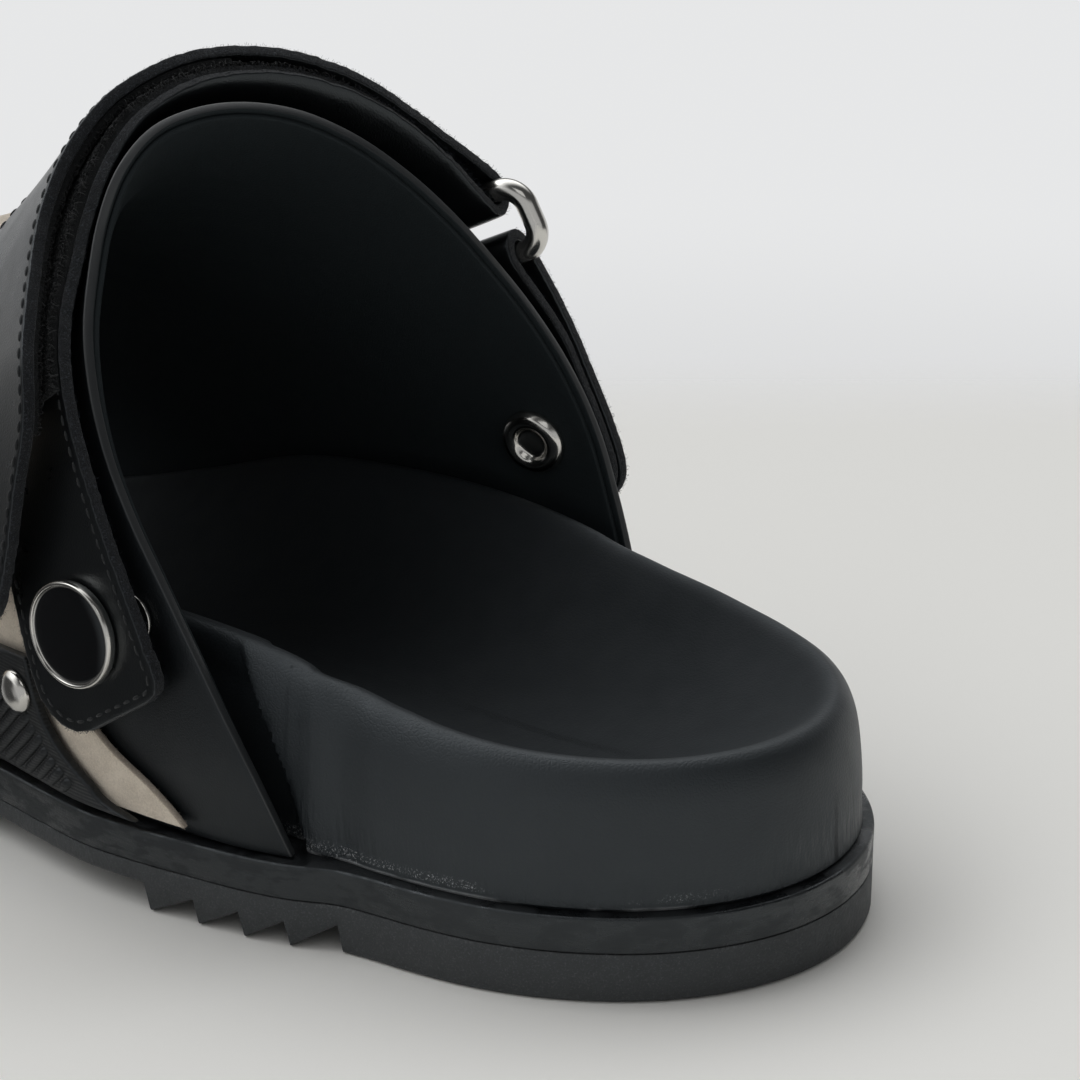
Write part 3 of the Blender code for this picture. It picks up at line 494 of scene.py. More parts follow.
class Finish(Tree):
    """A material on the Principled shader; sizes and depths are in millimetres."""

    def __init__(self, name, colour, rough, metal=0.0, **constants):
        self.material = bpy.data.materials.new(name)
        self.material.use_nodes = True
        super().__init__(self.material.node_tree)
        self.shader = self.tree.nodes["Principled BSDF"]
        self.colour = (*colour, 1.0)
        self.set("Base Color", self.colour)
        self.set("Roughness", rough)
        self.set("Metallic", metal)
        for socket, value in constants.items():
            self.set(socket.replace("_", " "), value)
        if max(colour) < 0.02:
            self.set("Specular Tint", COOL)
        self.relief = None

    def set(self, socket, value):
        socket = self.shader.inputs[socket]
        if isinstance(value, Value):
            self.tree.links.new(value.socket, socket)
        else:
            socket.default_value = value

    def place(self, chart=None):
        """Position in the sandal's frame, in metres, or on one of the piece's own maps."""
        if chart:
            return self.node("ShaderNodeUVMap", {"uv_map": chart})
        return self.node("ShaderNodeTexCoord", out="Object")

    def axis(self, which, chart=None):
        return self.node("ShaderNodeSeparateXYZ", sockets=[self.place(chart)], out=which)

    def noise(self, size, detail=2.0, stretch=(1.0, 1.0, 1.0), turn=0.0, chart=None, rough=0.5):
        sockets = {"Vector": self.place(chart), "Rotation": (0.0, 0.0, math.radians(turn))}
        sockets["Scale"] = tuple(1 / (size * MM * s) for s in stretch)
        spot = self.node("ShaderNodeMapping", sockets=sockets)
        sockets = {"Vector": spot, "Scale": 1.0, "Detail": detail, "Roughness": rough}
        return self.node("ShaderNodeTexNoise", sockets=sockets)

    def cells(self, size, feature="DISTANCE_TO_EDGE"):
        sockets = {"Vector": self.place(), "Scale": 1 / (size * MM)}
        return self.node("ShaderNodeTexVoronoi", {"feature": feature}, sockets, "Distance")

    def blend(self, share, one, other):
        """A colour between two, by a share from 0 to 1."""
        sockets = {"Factor": share, "A": one, "B": other}
        return self.node("ShaderNodeMix", {"data_type": "RGBA"}, sockets, "Result")

    def bump(self, height, depth):
        sockets = {"Height": height, "Distance": depth * MM, "Strength": 1.0}
        if self.relief:
            sockets["Normal"] = self.relief
        self.relief = self.node("ShaderNodeBump", sockets=sockets)
        self.set("Normal", self.relief)


def leather(name, colour, rough, grain, depth, swell, **constants):
    """Smooth leather: fine grain, a slow swell, and patches of more and less gloss."""
    made = Finish(name, colour, rough, **constants)
    made.bump(made.noise(9.0, 2.0), swell)
    made.bump(made.cells(grain).between(0.0, 0.25), depth)
    made.set("Roughness", rough - 0.09 + 0.18 * made.noise(5.0, 4.0))
    return made


def fibrous(name, colour, pale, rough, depth=0.09):
    """A cut edge or a felted face: short fibres, some of them paler."""
    made = Finish(name, colour, rough, Specular_IOR_Level=0.25, Sheen_Weight=0.12, Sheen_Roughness=0.6)
    fibre = made.noise(0.35, 4.0, rough=0.7)
    made.bump(fibre, depth)
    made.bump(made.noise(0.12, 2.0), depth * 0.4)
    flecks = made.noise(0.28, 3.0, rough=0.65).between(0.53, 0.68)
    made.set("Base Color", made.blend(flecks, made.colour, (*pale, 1.0)))
    return made


def rubber_finish():
    made = Finish("sole_rubber", (0.0195, 0.0195, 0.0199), 0.6, Specular_IOR_Level=0.75)
    made.bump(made.noise(0.5, 4.0, rough=0.65), 0.17)
    made.bump(made.cells(0.9, "F1"), 0.04)
    dust = made.noise(0.3, 3.0, rough=0.75).between(0.5, 0.72)
    near_joint = made.axis("Z").between(0.0064, 0.0069)
    smear = made.noise(7.0, 2.0).between(0.5, 0.62) * made.noise(0.4, 4.0, rough=0.7).between(0.48, 0.6)
    dusty = dust * 0.6 + near_joint * smear * 0.6
    made.set("Base Color", made.blend(dusty, made.colour, (0.085, 0.088, 0.09, 1.0)))
    made.set("Roughness", 0.46 + 0.26 * made.noise(2.2, 3.0))
    return made


def burnished_finish():
    made = Finish("burnished_edge", (0.0034, 0.0037, 0.0042), 0.3, Specular_IOR_Level=0.7)
    streak = made.noise(0.5, 4.0, stretch=(8.0, 8.0, 0.8), rough=0.65)
    made.bump(streak, 0.07)
    made.bump(made.noise(0.3, 4.0, rough=0.7), 0.06)
    made.bump(made.noise(9.0, 3.0, stretch=(1.0, 1.0, 0.5)), 0.4)
    towards_arch = made.axis("Y").between(ZERO[1] + 0.030, ZERO[1] + 0.075)
    worn = made.noise(5.0, 4.0, stretch=(1.0, 1.0, 0.4), rough=0.6).between(0.42, 0.58)
    made.set("Roughness", 0.14 + 0.14 * towards_arch + 0.16 * streak + 0.3 * worn)
    return made


def footbed_finish():
    # The dish and the inner side of the rim take a darker colour than the outer wall: painted shade.
    outside, dish_painted_shade = (0.0118, 0.0143, 0.0165, 1.0), (0.0058, 0.0072, 0.0086, 1.0)
    made = leather("footbed_leather", outside[:3], 0.5, 0.6, 0.018, 0.05, Specular_IOR_Level=0.62)
    height = made.axis("Z")
    low = 1.0 - height.between(0.0135, 0.024)
    made.bump(made.noise(1.1, 2.0, stretch=(1.0, 5.0, 1.0), turn=-24.0, chart="flat") * low, 0.32)
    inside = made.axis("Y", "profile").between(0.458, 0.627)
    made.set("Roughness", 0.42 + 0.36 * inside + 0.16 * made.noise(5.0, 4.0))
    line = 1.0 - height.between(0.0126, 0.0129 + 0.0004 * made.noise(4.0, 2.0))
    band = height.between(0.0132, 0.0137) * (1.0 - height.between(0.0141, 0.0150))
    patches = made.noise(9.0, 2.0).between(0.44, 0.6)
    specks = made.noise(0.32, 4.0, rough=0.8).between(0.55, 0.62)
    side = 1.0 - made.axis("X").between(-0.036, -0.008)
    along = made.axis("Y")
    corner = along.between(ZERO[1] + 0.0535, ZERO[1] + 0.056)
    corner = corner * (1.0 - height.between(0.0138, 0.0152)) * specks
    glue = ((line * 0.8 + band * specks) * patches + corner) * side
    # Outer wall's colour, turning into the darker painted shade over the rim and the dish.
    wall_and_painted_shade = made.blend(inside, outside, dish_painted_shade)
    made.set("Base Color", made.blend(glue, wall_and_painted_shade, (0.36, 0.37, 0.38, 1.0)))
    return made


def suede_finish():
    made = Finish("pale_suede", (0.47, 0.40, 0.33), 0.92, Specular_IOR_Level=0.15, Sheen_Weight=0.35)
    made.set("Sheen Roughness", 0.5)
    nap = made.noise(0.3, 4.0, rough=0.7)
    made.bump(nap, 0.14)
    shade = (made.noise(3.5, 3.0) * 0.4 + nap * 0.6).between(0.36, 0.62)
    made.set("Base Color", made.blend(shade, (0.53, 0.46, 0.375, 1.0), (0.69, 0.61, 0.505, 1.0)))
    return made


def rib_finish():
    made = Finish("ribbed_rubber", (0.006, 0.006, 0.0065), 0.5, Specular_IOR_Level=0.45)
    made.bump((made.axis("Z") * (2 * math.pi / 0.00055)).sine(), 0.02)
    made.bump(made.noise(0.4, 3.0), 0.04)
    return made


def nickel_finish():
    made = Finish("nickel", (0.66, 0.645, 0.61), 0.16, 1.0)
    made.set("Roughness", 0.12 + 0.12 * made.noise(2.0, 4.0))
    made.bump(made.noise(0.6, 3.0), 0.004)
    return made


RUBBER = rubber_finish()
BURNISHED = burnished_finish()
FOOTBED = footbed_finish()
VAMP = leather("vamp_leather", (0.0052, 0.0062, 0.0072), 0.42, 0.5, 0.012, 0.05, Specular_IOR_Level=0.4)
LINING = leather("vamp_lining", (0.0105, 0.014, 0.0155), 0.75, 0.5, 0.02, 0.03, Specular_IOR_Level=0.3)
EDGE_PAINT = leather(
    "painted_edge", (0.025, 0.0275, 0.0295), 0.36, 0.4, 0.004, 0.02, Specular_IOR_Level=0.55
)
STRAP = leather("strap_leather", (0.003, 0.0034, 0.0038), 0.3, 0.5, 0.01, 0.04, Specular_IOR_Level=0.6)
CUT_EDGE = fibrous("strap_cut_edge", (0.0042, 0.0048, 0.006), (0.042, 0.047, 0.057), 0.85, 0.2)
PILE = fibrous("strap_pile", (0.0016, 0.0017, 0.0019), (0.010, 0.0105, 0.0115), 0.9, 0.15)
THREAD = fibrous("thread", (0.003, 0.0032, 0.0035), (0.012, 0.0125, 0.0135), 0.6, 0.03)
LINT = Finish("edge_fibres", (0.032, 0.036, 0.044), 0.8, Specular_IOR_Level=0.2)
SUEDE = suede_finish()
SUEDE_EDGE = fibrous("suede_edge", (0.40, 0.34, 0.28), (0.55, 0.49, 0.42), 0.95)
RIBBED = rib_finish()
NICKEL = nickel_finish()
DARK = Finish("dark_face", (0.003, 0.003, 0.0034), 0.07, Specular_IOR_Level=0.5)


def dress(piece, slot, *nodes):
    """Lets the piece ride on the sandal in place of these solids. The slot is not used."""
    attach(piece, "root")
    if nodes:
        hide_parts(*nodes)
    return piece


def raw_piece(name, points, faces, finishes, edges=()):
    mesh = bpy.data.meshes.new(name)
    mesh.from_pydata([tuple(p) for p in np.asarray(points, float) * MM + ZERO], list(edges), faces)
    for finish in finishes:
        mesh.materials.append(finish.material)
    piece = bpy.data.objects.new(name, mesh)
    bpy.context.scene.collection.objects.link(piece)
    return piece


def settle(piece, sharp=38.0):
    """Turns the piece's modifiers into its own mesh, smooth except at sharper angles."""
    view = bpy.context.evaluated_depsgraph_get()
    shown = piece.evaluated_get(view)
    mesh = bpy.data.meshes.new_from_object(shown, preserve_all_data_layers=True, depsgraph=view)
    piece.modifiers.clear()
    piece.data = mesh
    mesh.shade_smooth()
    mesh.set_sharp_from_angle(angle=math.radians(sharp))
    return piece


def add_map(piece, name, places):
    """A map of each point of the mesh, under a name."""
    layer = piece.data.uv_layers.new(name=name)
    corners = np.empty(len(piece.data.loops), dtype=np.int32)
    piece.data.loops.foreach_get("vertex_index", corners)
    layer.data.foreach_set("uv", np.asarray(places, float)[corners].astype(np.float32).ravel())


def faces_of(rows, cols, turned_over):
    """Faces of a grid of points, on one side or the other."""
    faces = []
    for r in range(rows - 1):
        for c in range(cols - 1):
            a = r * cols + c
            face = (a, a + cols, a + cols + 1, a + 1)
            faces.append(face[::-1] if turned_over else face)
    return faces


def sheet(name, grid, wall, side, finishes, rounding, segments=3):
    """A wall on a grid of points: finishes for its face, back and rim, and rounded edges."""
    rows, cols = grid.shape[:2]
    piece = raw_piece(name, grid.reshape(-1, 3), faces_of(rows, cols, False), finishes)
    down = np.array([lengths(grid[:, c]) for c in range(cols)]).T
    across = np.array([lengths(grid[r]) for r in range(rows)])
    add_map(piece, "flat", np.dstack([down, across]).reshape(-1, 2) * MM)
    solid = piece.modifiers.new("wall", "SOLIDIFY")
    solid.thickness = wall * MM
    solid.offset = side
    solid.material_offset = min(1, len(finishes) - 1)
    solid.material_offset_rim = len(finishes) - 1
    bevel = piece.modifiers.new("rounding", "BEVEL")
    bevel.width = rounding * MM
    bevel.segments = segments
    bevel.limit_method = "ANGLE"
    bevel.angle_limit = math.radians(50.0)
    bevel.use_clamp_overlap = False
    return settle(piece)


def turned(name, profile, place, out, finish, segments):
    """A piece turned from rows of radius and height, seated at a place with its axis along out."""
    turn = Vector(out).to_track_quat("Z", "Y").to_matrix()
    profile = np.asarray(profile, float)
    points = []
    faces = []
    for k in range(segments):
        angle = 2 * math.pi * k / segments
        spin = np.array([math.cos(angle), math.sin(angle)])
        for radius, height in profile:
            points.append(np.array(turn @ Vector((*(radius * spin), height))) + place)
    n = len(profile)
    for k in range(segments):
        other = (k + 1) % segments
        for i in range(n - 1):
            faces.append((k * n + i, k * n + i + 1, other * n + i + 1, other * n + i))
    piece = raw_piece(name, points, faces, [finish])
    weld = piece.modifiers.new("joined", "WELD")
    weld.merge_threshold = 0.000002
    return settle(piece, 30.0)


def rounded(profile, corners=4):
    """The profile with a short curve in place of each inner corner."""
    profile = np.asarray(profile, float)
    rows = [profile[0]]
    for before, here, after in zip(profile[:-2], profile[1:-1], profile[2:]):
        one = here + (before - here) * 0.32
        two = here + (after - here) * 0.32
        for t in np.linspace(0, 1, corners + 1):
            rows.append(one * (1 - t) ** 2 + here * 2 * t * (1 - t) + two * t**2)
    rows.append(profile[-1])
    return rows


def stations(count, extra=()):
    """Places along the length, closer together near both ends."""
    spaced = LENGTH * (0.5 - 0.5 * np.cos(np.pi * np.arange(1, count) / count))
    return np.unique(np.concatenate([spaced, extra]))


def stacked(name, laps, finishes):
    """A loft through laps of equal length, capped across at both ends."""
    n = len(laps[0])
    faces = []
    for k in range(len(laps) - 1):
        for i in range(n):
            j = (i + 1) % n
            faces.append((k * n + i, k * n + j, (k + 1) * n + j, (k + 1) * n + i))
    for base, step in ((0, -1), ((len(laps) - 1) * n, 1)):
        faces.append((base, base + 1, base + n - 1)[::step])
        for i in range(1, n // 2 - 1):
            faces.append((base + i, base + i + 1, base + n - i - 1, base + n - i)[::step])
        faces.append((base + n // 2 - 1, base + n // 2, base + n // 2 + 1)[::step])
    piece = raw_piece(name, np.vstack(laps), faces, finishes)
    round_it = np.tile(lengths(laps[0]), len(laps))
    up = np.array([lengths(np.array([lap_[i] for lap_ in laps])) for i in range(n)]).T.ravel()
    add_map(piece, "flat", np.column_stack([round_it, up]) * MM)
    share = np.repeat(np.linspace(0, 1, len(laps)), n)
    add_map(piece, "profile", np.column_stack([np.zeros(len(share)), share]))
    return settle(piece, 32.0)


STATIONS = 170
# Lips of the joint between outsole and midsole: inset, and distance from the joint.
JOINT_LIP = ((0.35, 0.0), (0.08, 0.12), (0.0, 0.35))
MIDSOLE_ROUNDING = 0.45


def outsole_look():
    underside = np.asarray(UNDERSIDE_Y_Z, float)
    points, inward = loop_of(stations(STATIONS, underside[1:-1, 0]))
    y = points[:, 1]
    low = np.interp(y, underside[:, 0], underside[:, 1]) + spring(y)
    top = OUTSOLE_TOP + GAP / 2 + spring(y)
    ragged = 0.12 * np.sin(y * 3.1) * np.sin(y * 0.83 + 1.0)
    rows = [(EDGE_BREAK + 1.2, low), (EDGE_BREAK + ragged, low), (0.2, low + 0.3), (0.0, low + EDGE_BREAK)]
    rows += [(inset, top - away) for inset, away in JOINT_LIP[::-1]]
    laps = [lap(points, inward, inset, z) for inset, z in rows]
    dress(stacked("outsole_look", laps, [RUBBER]), "sole_rubber", "outsole")


def midsole_look():
    points, inward = loop_of(stations(STATIONS))
    y = points[:, 1]
    low = OUTSOLE_TOP + GAP / 2 + spring(y)
    top = SOLE_TOP + spring(y)
    rows = [(inset, low + away) for inset, away in JOINT_LIP]
    for angle in np.radians(np.linspace(0, 90, 6)):
        inset = MIDSOLE_ROUNDING * (1 - math.cos(angle))
        rows.append((inset, top - MIDSOLE_ROUNDING * (1 - math.sin(angle))))
    rows.append((2.0, top))
    laps = [lap(points, inward, inset, z) for inset, z in rows]
    dress(stacked("midsole_look", laps, [BURNISHED]), "burnished_edge", "midsole")


TUCK = 2.6
TUCK_FROM_EDGE = 1.9
TUCK_SLOPE = 1.5
TUCK_FADES = (84.0, 110.0)
TUCK_STATIONS = (43.0, 80.0, 0.6)
TUCK_FULL_DROP = 0.3
FOOTBED_FOOT = 0.5
RIM_ROWS = 34


def tucked(y, z):
    """How far the footbed's inner side draws in just behind the vamp's edge."""
    edge = np.asarray(REAR_X_Y_Z[:5])
    behind = np.interp(z, edge[:, 2], edge[:, 1]) - y
    share = np.clip((TUCK_FROM_EDGE - behind) / TUCK_SLOPE, 0, 1)
    faded = np.clip((y - TUCK_FADES[0]) / (TUCK_FADES[1] - TUCK_FADES[0]), 0, 1)
    return TUCK * share * share * (3 - 2 * share) * (1 - faded)


def footbed_look():
    points, inward = loop_of(stations(STATIONS, np.arange(*TUCK_STATIONS)))
    y = points[:, 1]
    n = len(points)
    lateral = np.arange(n) <= n // 2
    medial_inset, lateral_inset = (column(INSET_Y_VAMP_MEDIAL_LATERAL, y, k) for k in (2, 3))
    medial_crest, lateral_crest = (column(BED_Y_MEDIAL_LATERAL_DISH, y, k) for k in (1, 2))
    inset = np.where(lateral, lateral_inset, medial_inset)
    crest = np.where(lateral, lateral_crest, medial_crest) + spring(y)
    base = SOLE_TOP + spring(y)
    wall = np.minimum(crest - base, RIM_WALL_MOST)
    rim = np.vstack([[0.3, 0.8], RIM_DEEPER_DROP])
    rim = spline(np.arange(len(rim)), rim, np.linspace(0, len(rim) - 1, RIM_ROWS))

    def tuck(z):
        return np.where(lateral, 0.0, tucked(y, z))

    laps = [lap(points, inward, inset + tuck(base) + FOOTBED_FOOT, base)]
    for share in np.linspace(0, 1, 5, endpoint=False):
        z = base + FOOTBED_FOOT + (crest - rim[0, 1] * wall - base - FOOTBED_FOOT) * share
        laps.append(lap(points, inward, inset + tuck(z) + 0.1 + 0.2 * share, z))
    for deeper, drop in rim:
        z = crest - drop * wall
        laps.append(lap(points, inward, inset + deeper + tuck(z) * min(drop / TUCK_FULL_DROP, 1.0), z))
    edge = laps[-1]
    spine = np.column_stack([np.zeros(n), np.clip(edge[:, 1], *DISH_SPINE), np.zeros(n)])
    for share in np.linspace(0, 0.97, 22)[1:]:
        ring_lap = edge + (spine - edge) * share
        floor = column(BED_Y_MEDIAL_LATERAL_DISH, ring_lap[:, 1], 3) + spring(ring_lap[:, 1])
        ring_lap[:, 2] = floor + (edge[:, 2] - floor) * (1 - share) ** DISH_POWER
        laps.append(ring_lap)
    dress(stacked("footbed_look", laps, [FOOTBED]), "footbed_leather", "footbed")


# Creases of the vamp: from and to as shares of girth and length, then width and depth.
VAMP_CREASES = (
    (0.16, 0.03, 0.05, 0.16, 2.6, 0.28),
    (0.22, 0.05, 0.11, 0.14, 2.0, 0.18),
    (0.30, 0.62, 0.46, 0.70, 4.0, 0.7),
    (0.50, 0.60, 0.68, 0.70, 4.0, 0.6),
    (0.26, 0.76, 0.48, 0.82, 3.4, 0.6),
    (0.54, 0.82, 0.74, 0.74, 3.4, 0.5),
    (0.84, 0.20, 0.94, 0.08, 2.4, 0.25),
)
GIRTH = 250.0
FORWARD = 120.0
CREASE_WAVE = (1.2, 5.0)
RIDGE_AWAY = 1.8
RIDGE_SHARE = 0.45


def creased(u, v):
    """Height of the vamp's creases: a soft trough with a low ridge on each side, fading at both ends."""
    height = np.zeros(u.shape)
    place = np.stack([u * GIRTH, v * FORWARD], axis=-1)
    for u0, v0, u1, v1, width, depth in VAMP_CREASES:
        start = np.array([u0 * GIRTH, v0 * FORWARD])
        reach = np.array([u1 * GIRTH, v1 * FORWARD]) - start
        size = np.linalg.norm(reach)
        ahead = reach / size
        along = (place - start) @ ahead
        side = (place - start) @ np.array([-ahead[1], ahead[0]])
        side = side + CREASE_WAVE[0] * np.sin(along / size * CREASE_WAVE[1])
        fade = np.sin(np.pi * np.clip(along / size, 0, 1)) ** 0.8
        trough = np.exp(-((side / width) ** 2))
        ridge = np.exp(-((np.abs(side) - RIDGE_AWAY * width) / width) ** 2)
        height += depth * fade * (RIDGE_SHARE * ridge - trough)
    return height


def on_vamp(u, v, offset):
    return off_vamp(u, v, np.zeros(u.shape) + offset + creased(u, v))


VAMP_SKIN = 1.5
LINING_BACK = 0.007


def upper_look():
    """The vamp's leather with its painted edge, and a lining that stops just short of that edge."""
    u, v = np.meshgrid(np.linspace(0, 1, 181), np.linspace(0, 1, 71), indexing="ij")
    made = sheet("upper_look", on_vamp(u, v, 0.0), VAMP_SKIN, -1, [VAMP, LINING, EDGE_PAINT], 0.3)
    dress(made, "vamp_leather", "upper")
    v = LINING_BACK + (1 - 2 * LINING_BACK) * v
    made = sheet("lining_look", on_vamp(u, v, -VAMP_SKIN), VAMP_WALL - VAMP_SKIN, -1, [LINING], 0.3)
    dress(made, "vamp_leather")


def overlay(u, back, front, shares, height):
    """Points over the vamp at a height, from a back edge given for each u to one front edge."""
    v = back[:, None] + (front - back[:, None]) * shares[None]
    u = np.broadcast_to(u[:, None], v.shape)
    return on_vamp(u, v, height)


def suede_look():
    u = np.linspace(*SUEDE_ENDS_U, 181)
    back = column(SUEDE_U_V, u, 1)
    shares = np.linspace(0, 1, 66) ** 1.1
    grid = overlay(u, back, SUEDE_FRONT_V, shares, SUEDE_OFF + SUEDE_WALL)
    made = sheet("suede_look", grid, SUEDE_WALL, -1, [SUEDE, SUEDE, SUEDE_EDGE], 0.35)
    dress(made, "pale_suede", "suede_panel")


def guard_side(u, lateral):
    return 1 - u if lateral else u


def guard_look(side, lateral):
    rise = np.linspace(GUARD_U[0], GUARD_U[-1], 56)
    back = column(GUARD_RISE_V, rise, 1)
    u = guard_side(rise, lateral)
    if lateral:
        u, back = u[::-1], back[::-1]
    grid = overlay(u, back, GUARD_FRONT_V, np.linspace(0, 1, 110), GUARD_OFF + GUARD_WALL)
    made = sheet(f"guard_{side}_look", grid, GUARD_WALL, -1, [RIBBED], 0.45)
    dress(made, "ribbed_rubber", f"guard_{side}")


class Strip:
    """A strip of leather through paired back and front points, measured along and across its middle."""

    def __init__(self, runs, wall, ends_round, out, step=0.8):
        back, front = (np.vstack([points[k] for points in runs]) for k in (0, 1))
        self.wall = wall
        self.ends_round = ends_round
        run = lengths((back + front) / 2)
        self.run = np.linspace(0, run[-1], int(run[-1] / step))
        self.back = spline(run, back, self.run)
        self.front = spline(run, front, self.run)
        self.width = np.linalg.norm(self.front - self.back, axis=1)
        along = np.gradient((self.back + self.front) / 2, axis=0)
        self.normal = np.cross(along, self.front - self.back)
        self.normal /= np.linalg.norm(self.normal, axis=1)[:, None]
        self.sign = 1.0 if np.dot(self.normal[6], out) > 0 else -1.0
        self.normal *= self.sign

    def read(self, rows, run):
        return np.stack([np.interp(run, self.run, rows[:, k]) for k in range(3)], axis=-1)

    def place(self, run, across, lift):
        """Points at a run and a distance from the back edge, lifted off the strip's middle."""
        share = np.asarray(across) / np.interp(run, self.run, self.width)
        lift = np.broadcast_to(lift, share.shape)[..., None]
        back, front = self.read(self.back, run), self.read(self.front, run)
        return back + (front - back) * share[..., None] + self.read(self.normal, run) * lift

    def grid(self, cols, sag, rough, seed):
        """Points over the whole strip, its middle sinking by the sag given at each run."""
        ragged = np.random.default_rng(seed).normal(0.0, rough, (2, len(self.run)))
        low = trimmed(self.run, self.ends_round[0]) + ragged[0]
        high = self.width - trimmed(self.run, self.ends_round[1]) + ragged[1]
        across = low[:, None] + (high - low)[:, None] * np.linspace(0, 1, cols)[None]
        run = np.broadcast_to(self.run[:, None], across.shape)
        hollow = np.sqrt(np.sin(np.linspace(0, np.pi, cols)))
        return self.place(run, across, -np.asarray(sag)[:, None] * hollow[None])

    def border(self, from_start, reach, inset):
        """Runs and distances just inside one rounded end of the strip and back along both its edges."""
        away = np.linspace(reach, inset, int(reach / 0.25))
        run = away if from_start else self.run[-1] - away
        width = np.interp(run, self.run, self.width)
        trims = []
        for radii in self.ends_round:
            bend = radii[0 if from_start else 1] - inset
            near = np.clip(1 - (away - inset) / bend, 0, 1)
            trims.append(inset + bend * (1 - np.sqrt(1 - near**2)))
        across = np.concatenate([trims[0], (width - trims[1])[::-1]])
        return np.concatenate([run, run[::-1]]), across


def smooth_rows(table, times=8):
    table = np.asarray(table, float)
    return spline(np.linspace(0, 1, len(table)), table, np.linspace(0, 1, times * len(table)))


def strap_strip():
    """The strap's strip, its front edge resting on the vamp over the instep."""
    rows = smooth_rows(INNER_BACK_FRONT)
    rows[:, 5] += (STRAP_WALL / 2 - rows[:, 5]) * plateau(rows[:, 3], *STRAP_RESTS_U)
    outer = strip_run(smooth_rows(OUTER_BACK_FRONT))
    runs = (strip_run(rows), fold(-1, STRAP_WALL, *STRAP_TURN), outer)
    return Strip(runs, STRAP_WALL, STRAP_ENDS_ROUND, vamp_normal(0.1, 0.1))


def tab_strip():
    """The ring tab's strip: up the vamp, round the ring and down again over itself."""
    rows = smooth_rows(TAB_BACK_FRONT, 5)
    over = rows[::-1].copy()
    apart = TAB_WALL + GAP + TAB_SPREAD * np.linspace(1, 0, len(over)) ** 2.5
    over[:, [2, 5]] += apart[:, None]
    runs = (strip_run(rows), fold(1, TAB_WALL, *TAB_TURN), strip_run(over))
    return Strip(runs, TAB_WALL, TAB_ENDS_ROUND, vamp_normal(0.85, 0.1))


STRAP_SAG = 1.9
STRAP_SAG_RUN = (95.0, 40.0)


def strip_looks(strap, tab):
    """Both strips with slightly ragged cut edges, the strap sunk on to the vamp on the inner side."""
    sag = STRAP_SAG * plateau(strap.run, *STRAP_SAG_RUN)
    rows = (
        ("strap", strap.grid(25, sag, 0.07, 3), STRAP_WALL, 0.3),
        ("ring_tab", tab.grid(21, np.zeros(len(tab.run)), 0.03, 9), TAB_WALL, 0.35),
    )
    for node, grid, wall, rounding in rows:
        made = sheet(f"{node}_look", grid, wall, 0, [STRAP, STRAP, CUT_EDGE], rounding)
        dress(made, "strap_leather", node)


class Maker(Tree):
    """A Geometry Nodes tree with named inputs, run once on a mesh of paths or faces."""

    KINDS = {float: "NodeSocketFloat", int: "NodeSocketInt"}

    def __init__(self, name, **inputs):
        super().__init__(bpy.data.node_groups.new(name, "GeometryNodeTree"))
        face = self.tree.interface
        face.new_socket("Geometry", in_out="INPUT", socket_type="NodeSocketGeometry")
        for key, kind in inputs.items():
            face.new_socket(key, in_out="INPUT", socket_type=self.KINDS[kind])
        face.new_socket("Material", in_out="INPUT", socket_type="NodeSocketMaterial")
        face.new_socket("Geometry", in_out="OUTPUT", socket_type="NodeSocketGeometry")
        self.start = self.tree.nodes.new("NodeGroupInput")

    def input(self, name):
        return Value(self, self.start.outputs[name])

    def wire(self, curve, radius, sides):
        """A curve made solid with a round section."""
        sockets = {"Resolution": sides, "Radius": radius}
        ring = self.node("GeometryNodeCurvePrimitiveCircle", sockets=sockets)
        sockets = {"Curve": curve, "Profile Curve": ring, "Fill Caps": True}
        return self.node("GeometryNodeCurveToMesh", sockets=sockets)

    def end(self, shape):
        """Closes the tree: one real mesh in the material that was given."""
        real = self.node("GeometryNodeRealizeInstances", sockets={"Geometry": shape})
        smooth = self.node("GeometryNodeSetShadeSmooth", sockets={"Geometry": real})
        sockets = {"Geometry": smooth, "Material": self.input("Material")}
        made = self.node("GeometryNodeSetMaterial", sockets=sockets)
        out = self.tree.nodes.new("NodeGroupOutput")
        self.tree.links.new(made.socket, out.inputs["Geometry"])
        return self

    def run(self, piece, finish, **values):
        values["Material"] = finish.material
        made = piece.modifiers.new("made", "NODES")
        made.node_group = self.tree
        for item in self.tree.interface.items_tree:
            if item.in_out == "INPUT" and item.name in values:
                made[item.identifier] = values[item.name]
        settle(piece, 60.0)
        if not len(piece.data.polygons):
            raise ValueError(f"{piece.name} came out empty")
        return piece


def stitch_maker():
    """Beads of thread laid end to end along paths."""
    made = Maker("stitch_row", Pitch=float, Length=float, Thickness=float)
    path = made.node("GeometryNodeMeshToCurve", sockets={"Mesh": made.input("Geometry")})
    sockets = {"Curve": path, "Length": made.input("Pitch")}
    spots = made.node("GeometryNodeResampleCurve", {"mode": "LENGTH"}, sockets)
    bead = made.node("GeometryNodeMeshUVSphere", sockets={"Segments": 8, "Rings": 6, "Radius": 0.5})
    tangent = made.node("GeometryNodeInputTangent")
    turn = made.node("FunctionNodeAlignRotationToVector", {"axis": "Z"}, {"Vector": tangent})
    thick = made.input("Thickness")
    size = made.node("ShaderNodeCombineXYZ", sockets=[thick, thick, made.input("Length")])
    sockets = {"Points": spots, "Instance": bead, "Rotation": turn, "Scale": size}
    return made.end(made.node("GeometryNodeInstanceOnPoints", sockets=sockets))


def bar_maker():
    """Round bars along paths."""
    made = Maker("bars", Radius=float)
    path = made.node("GeometryNodeMeshToCurve", sockets={"Mesh": made.input("Geometry")})
    return made.end(made.wire(path, made.input("Radius"), 10))


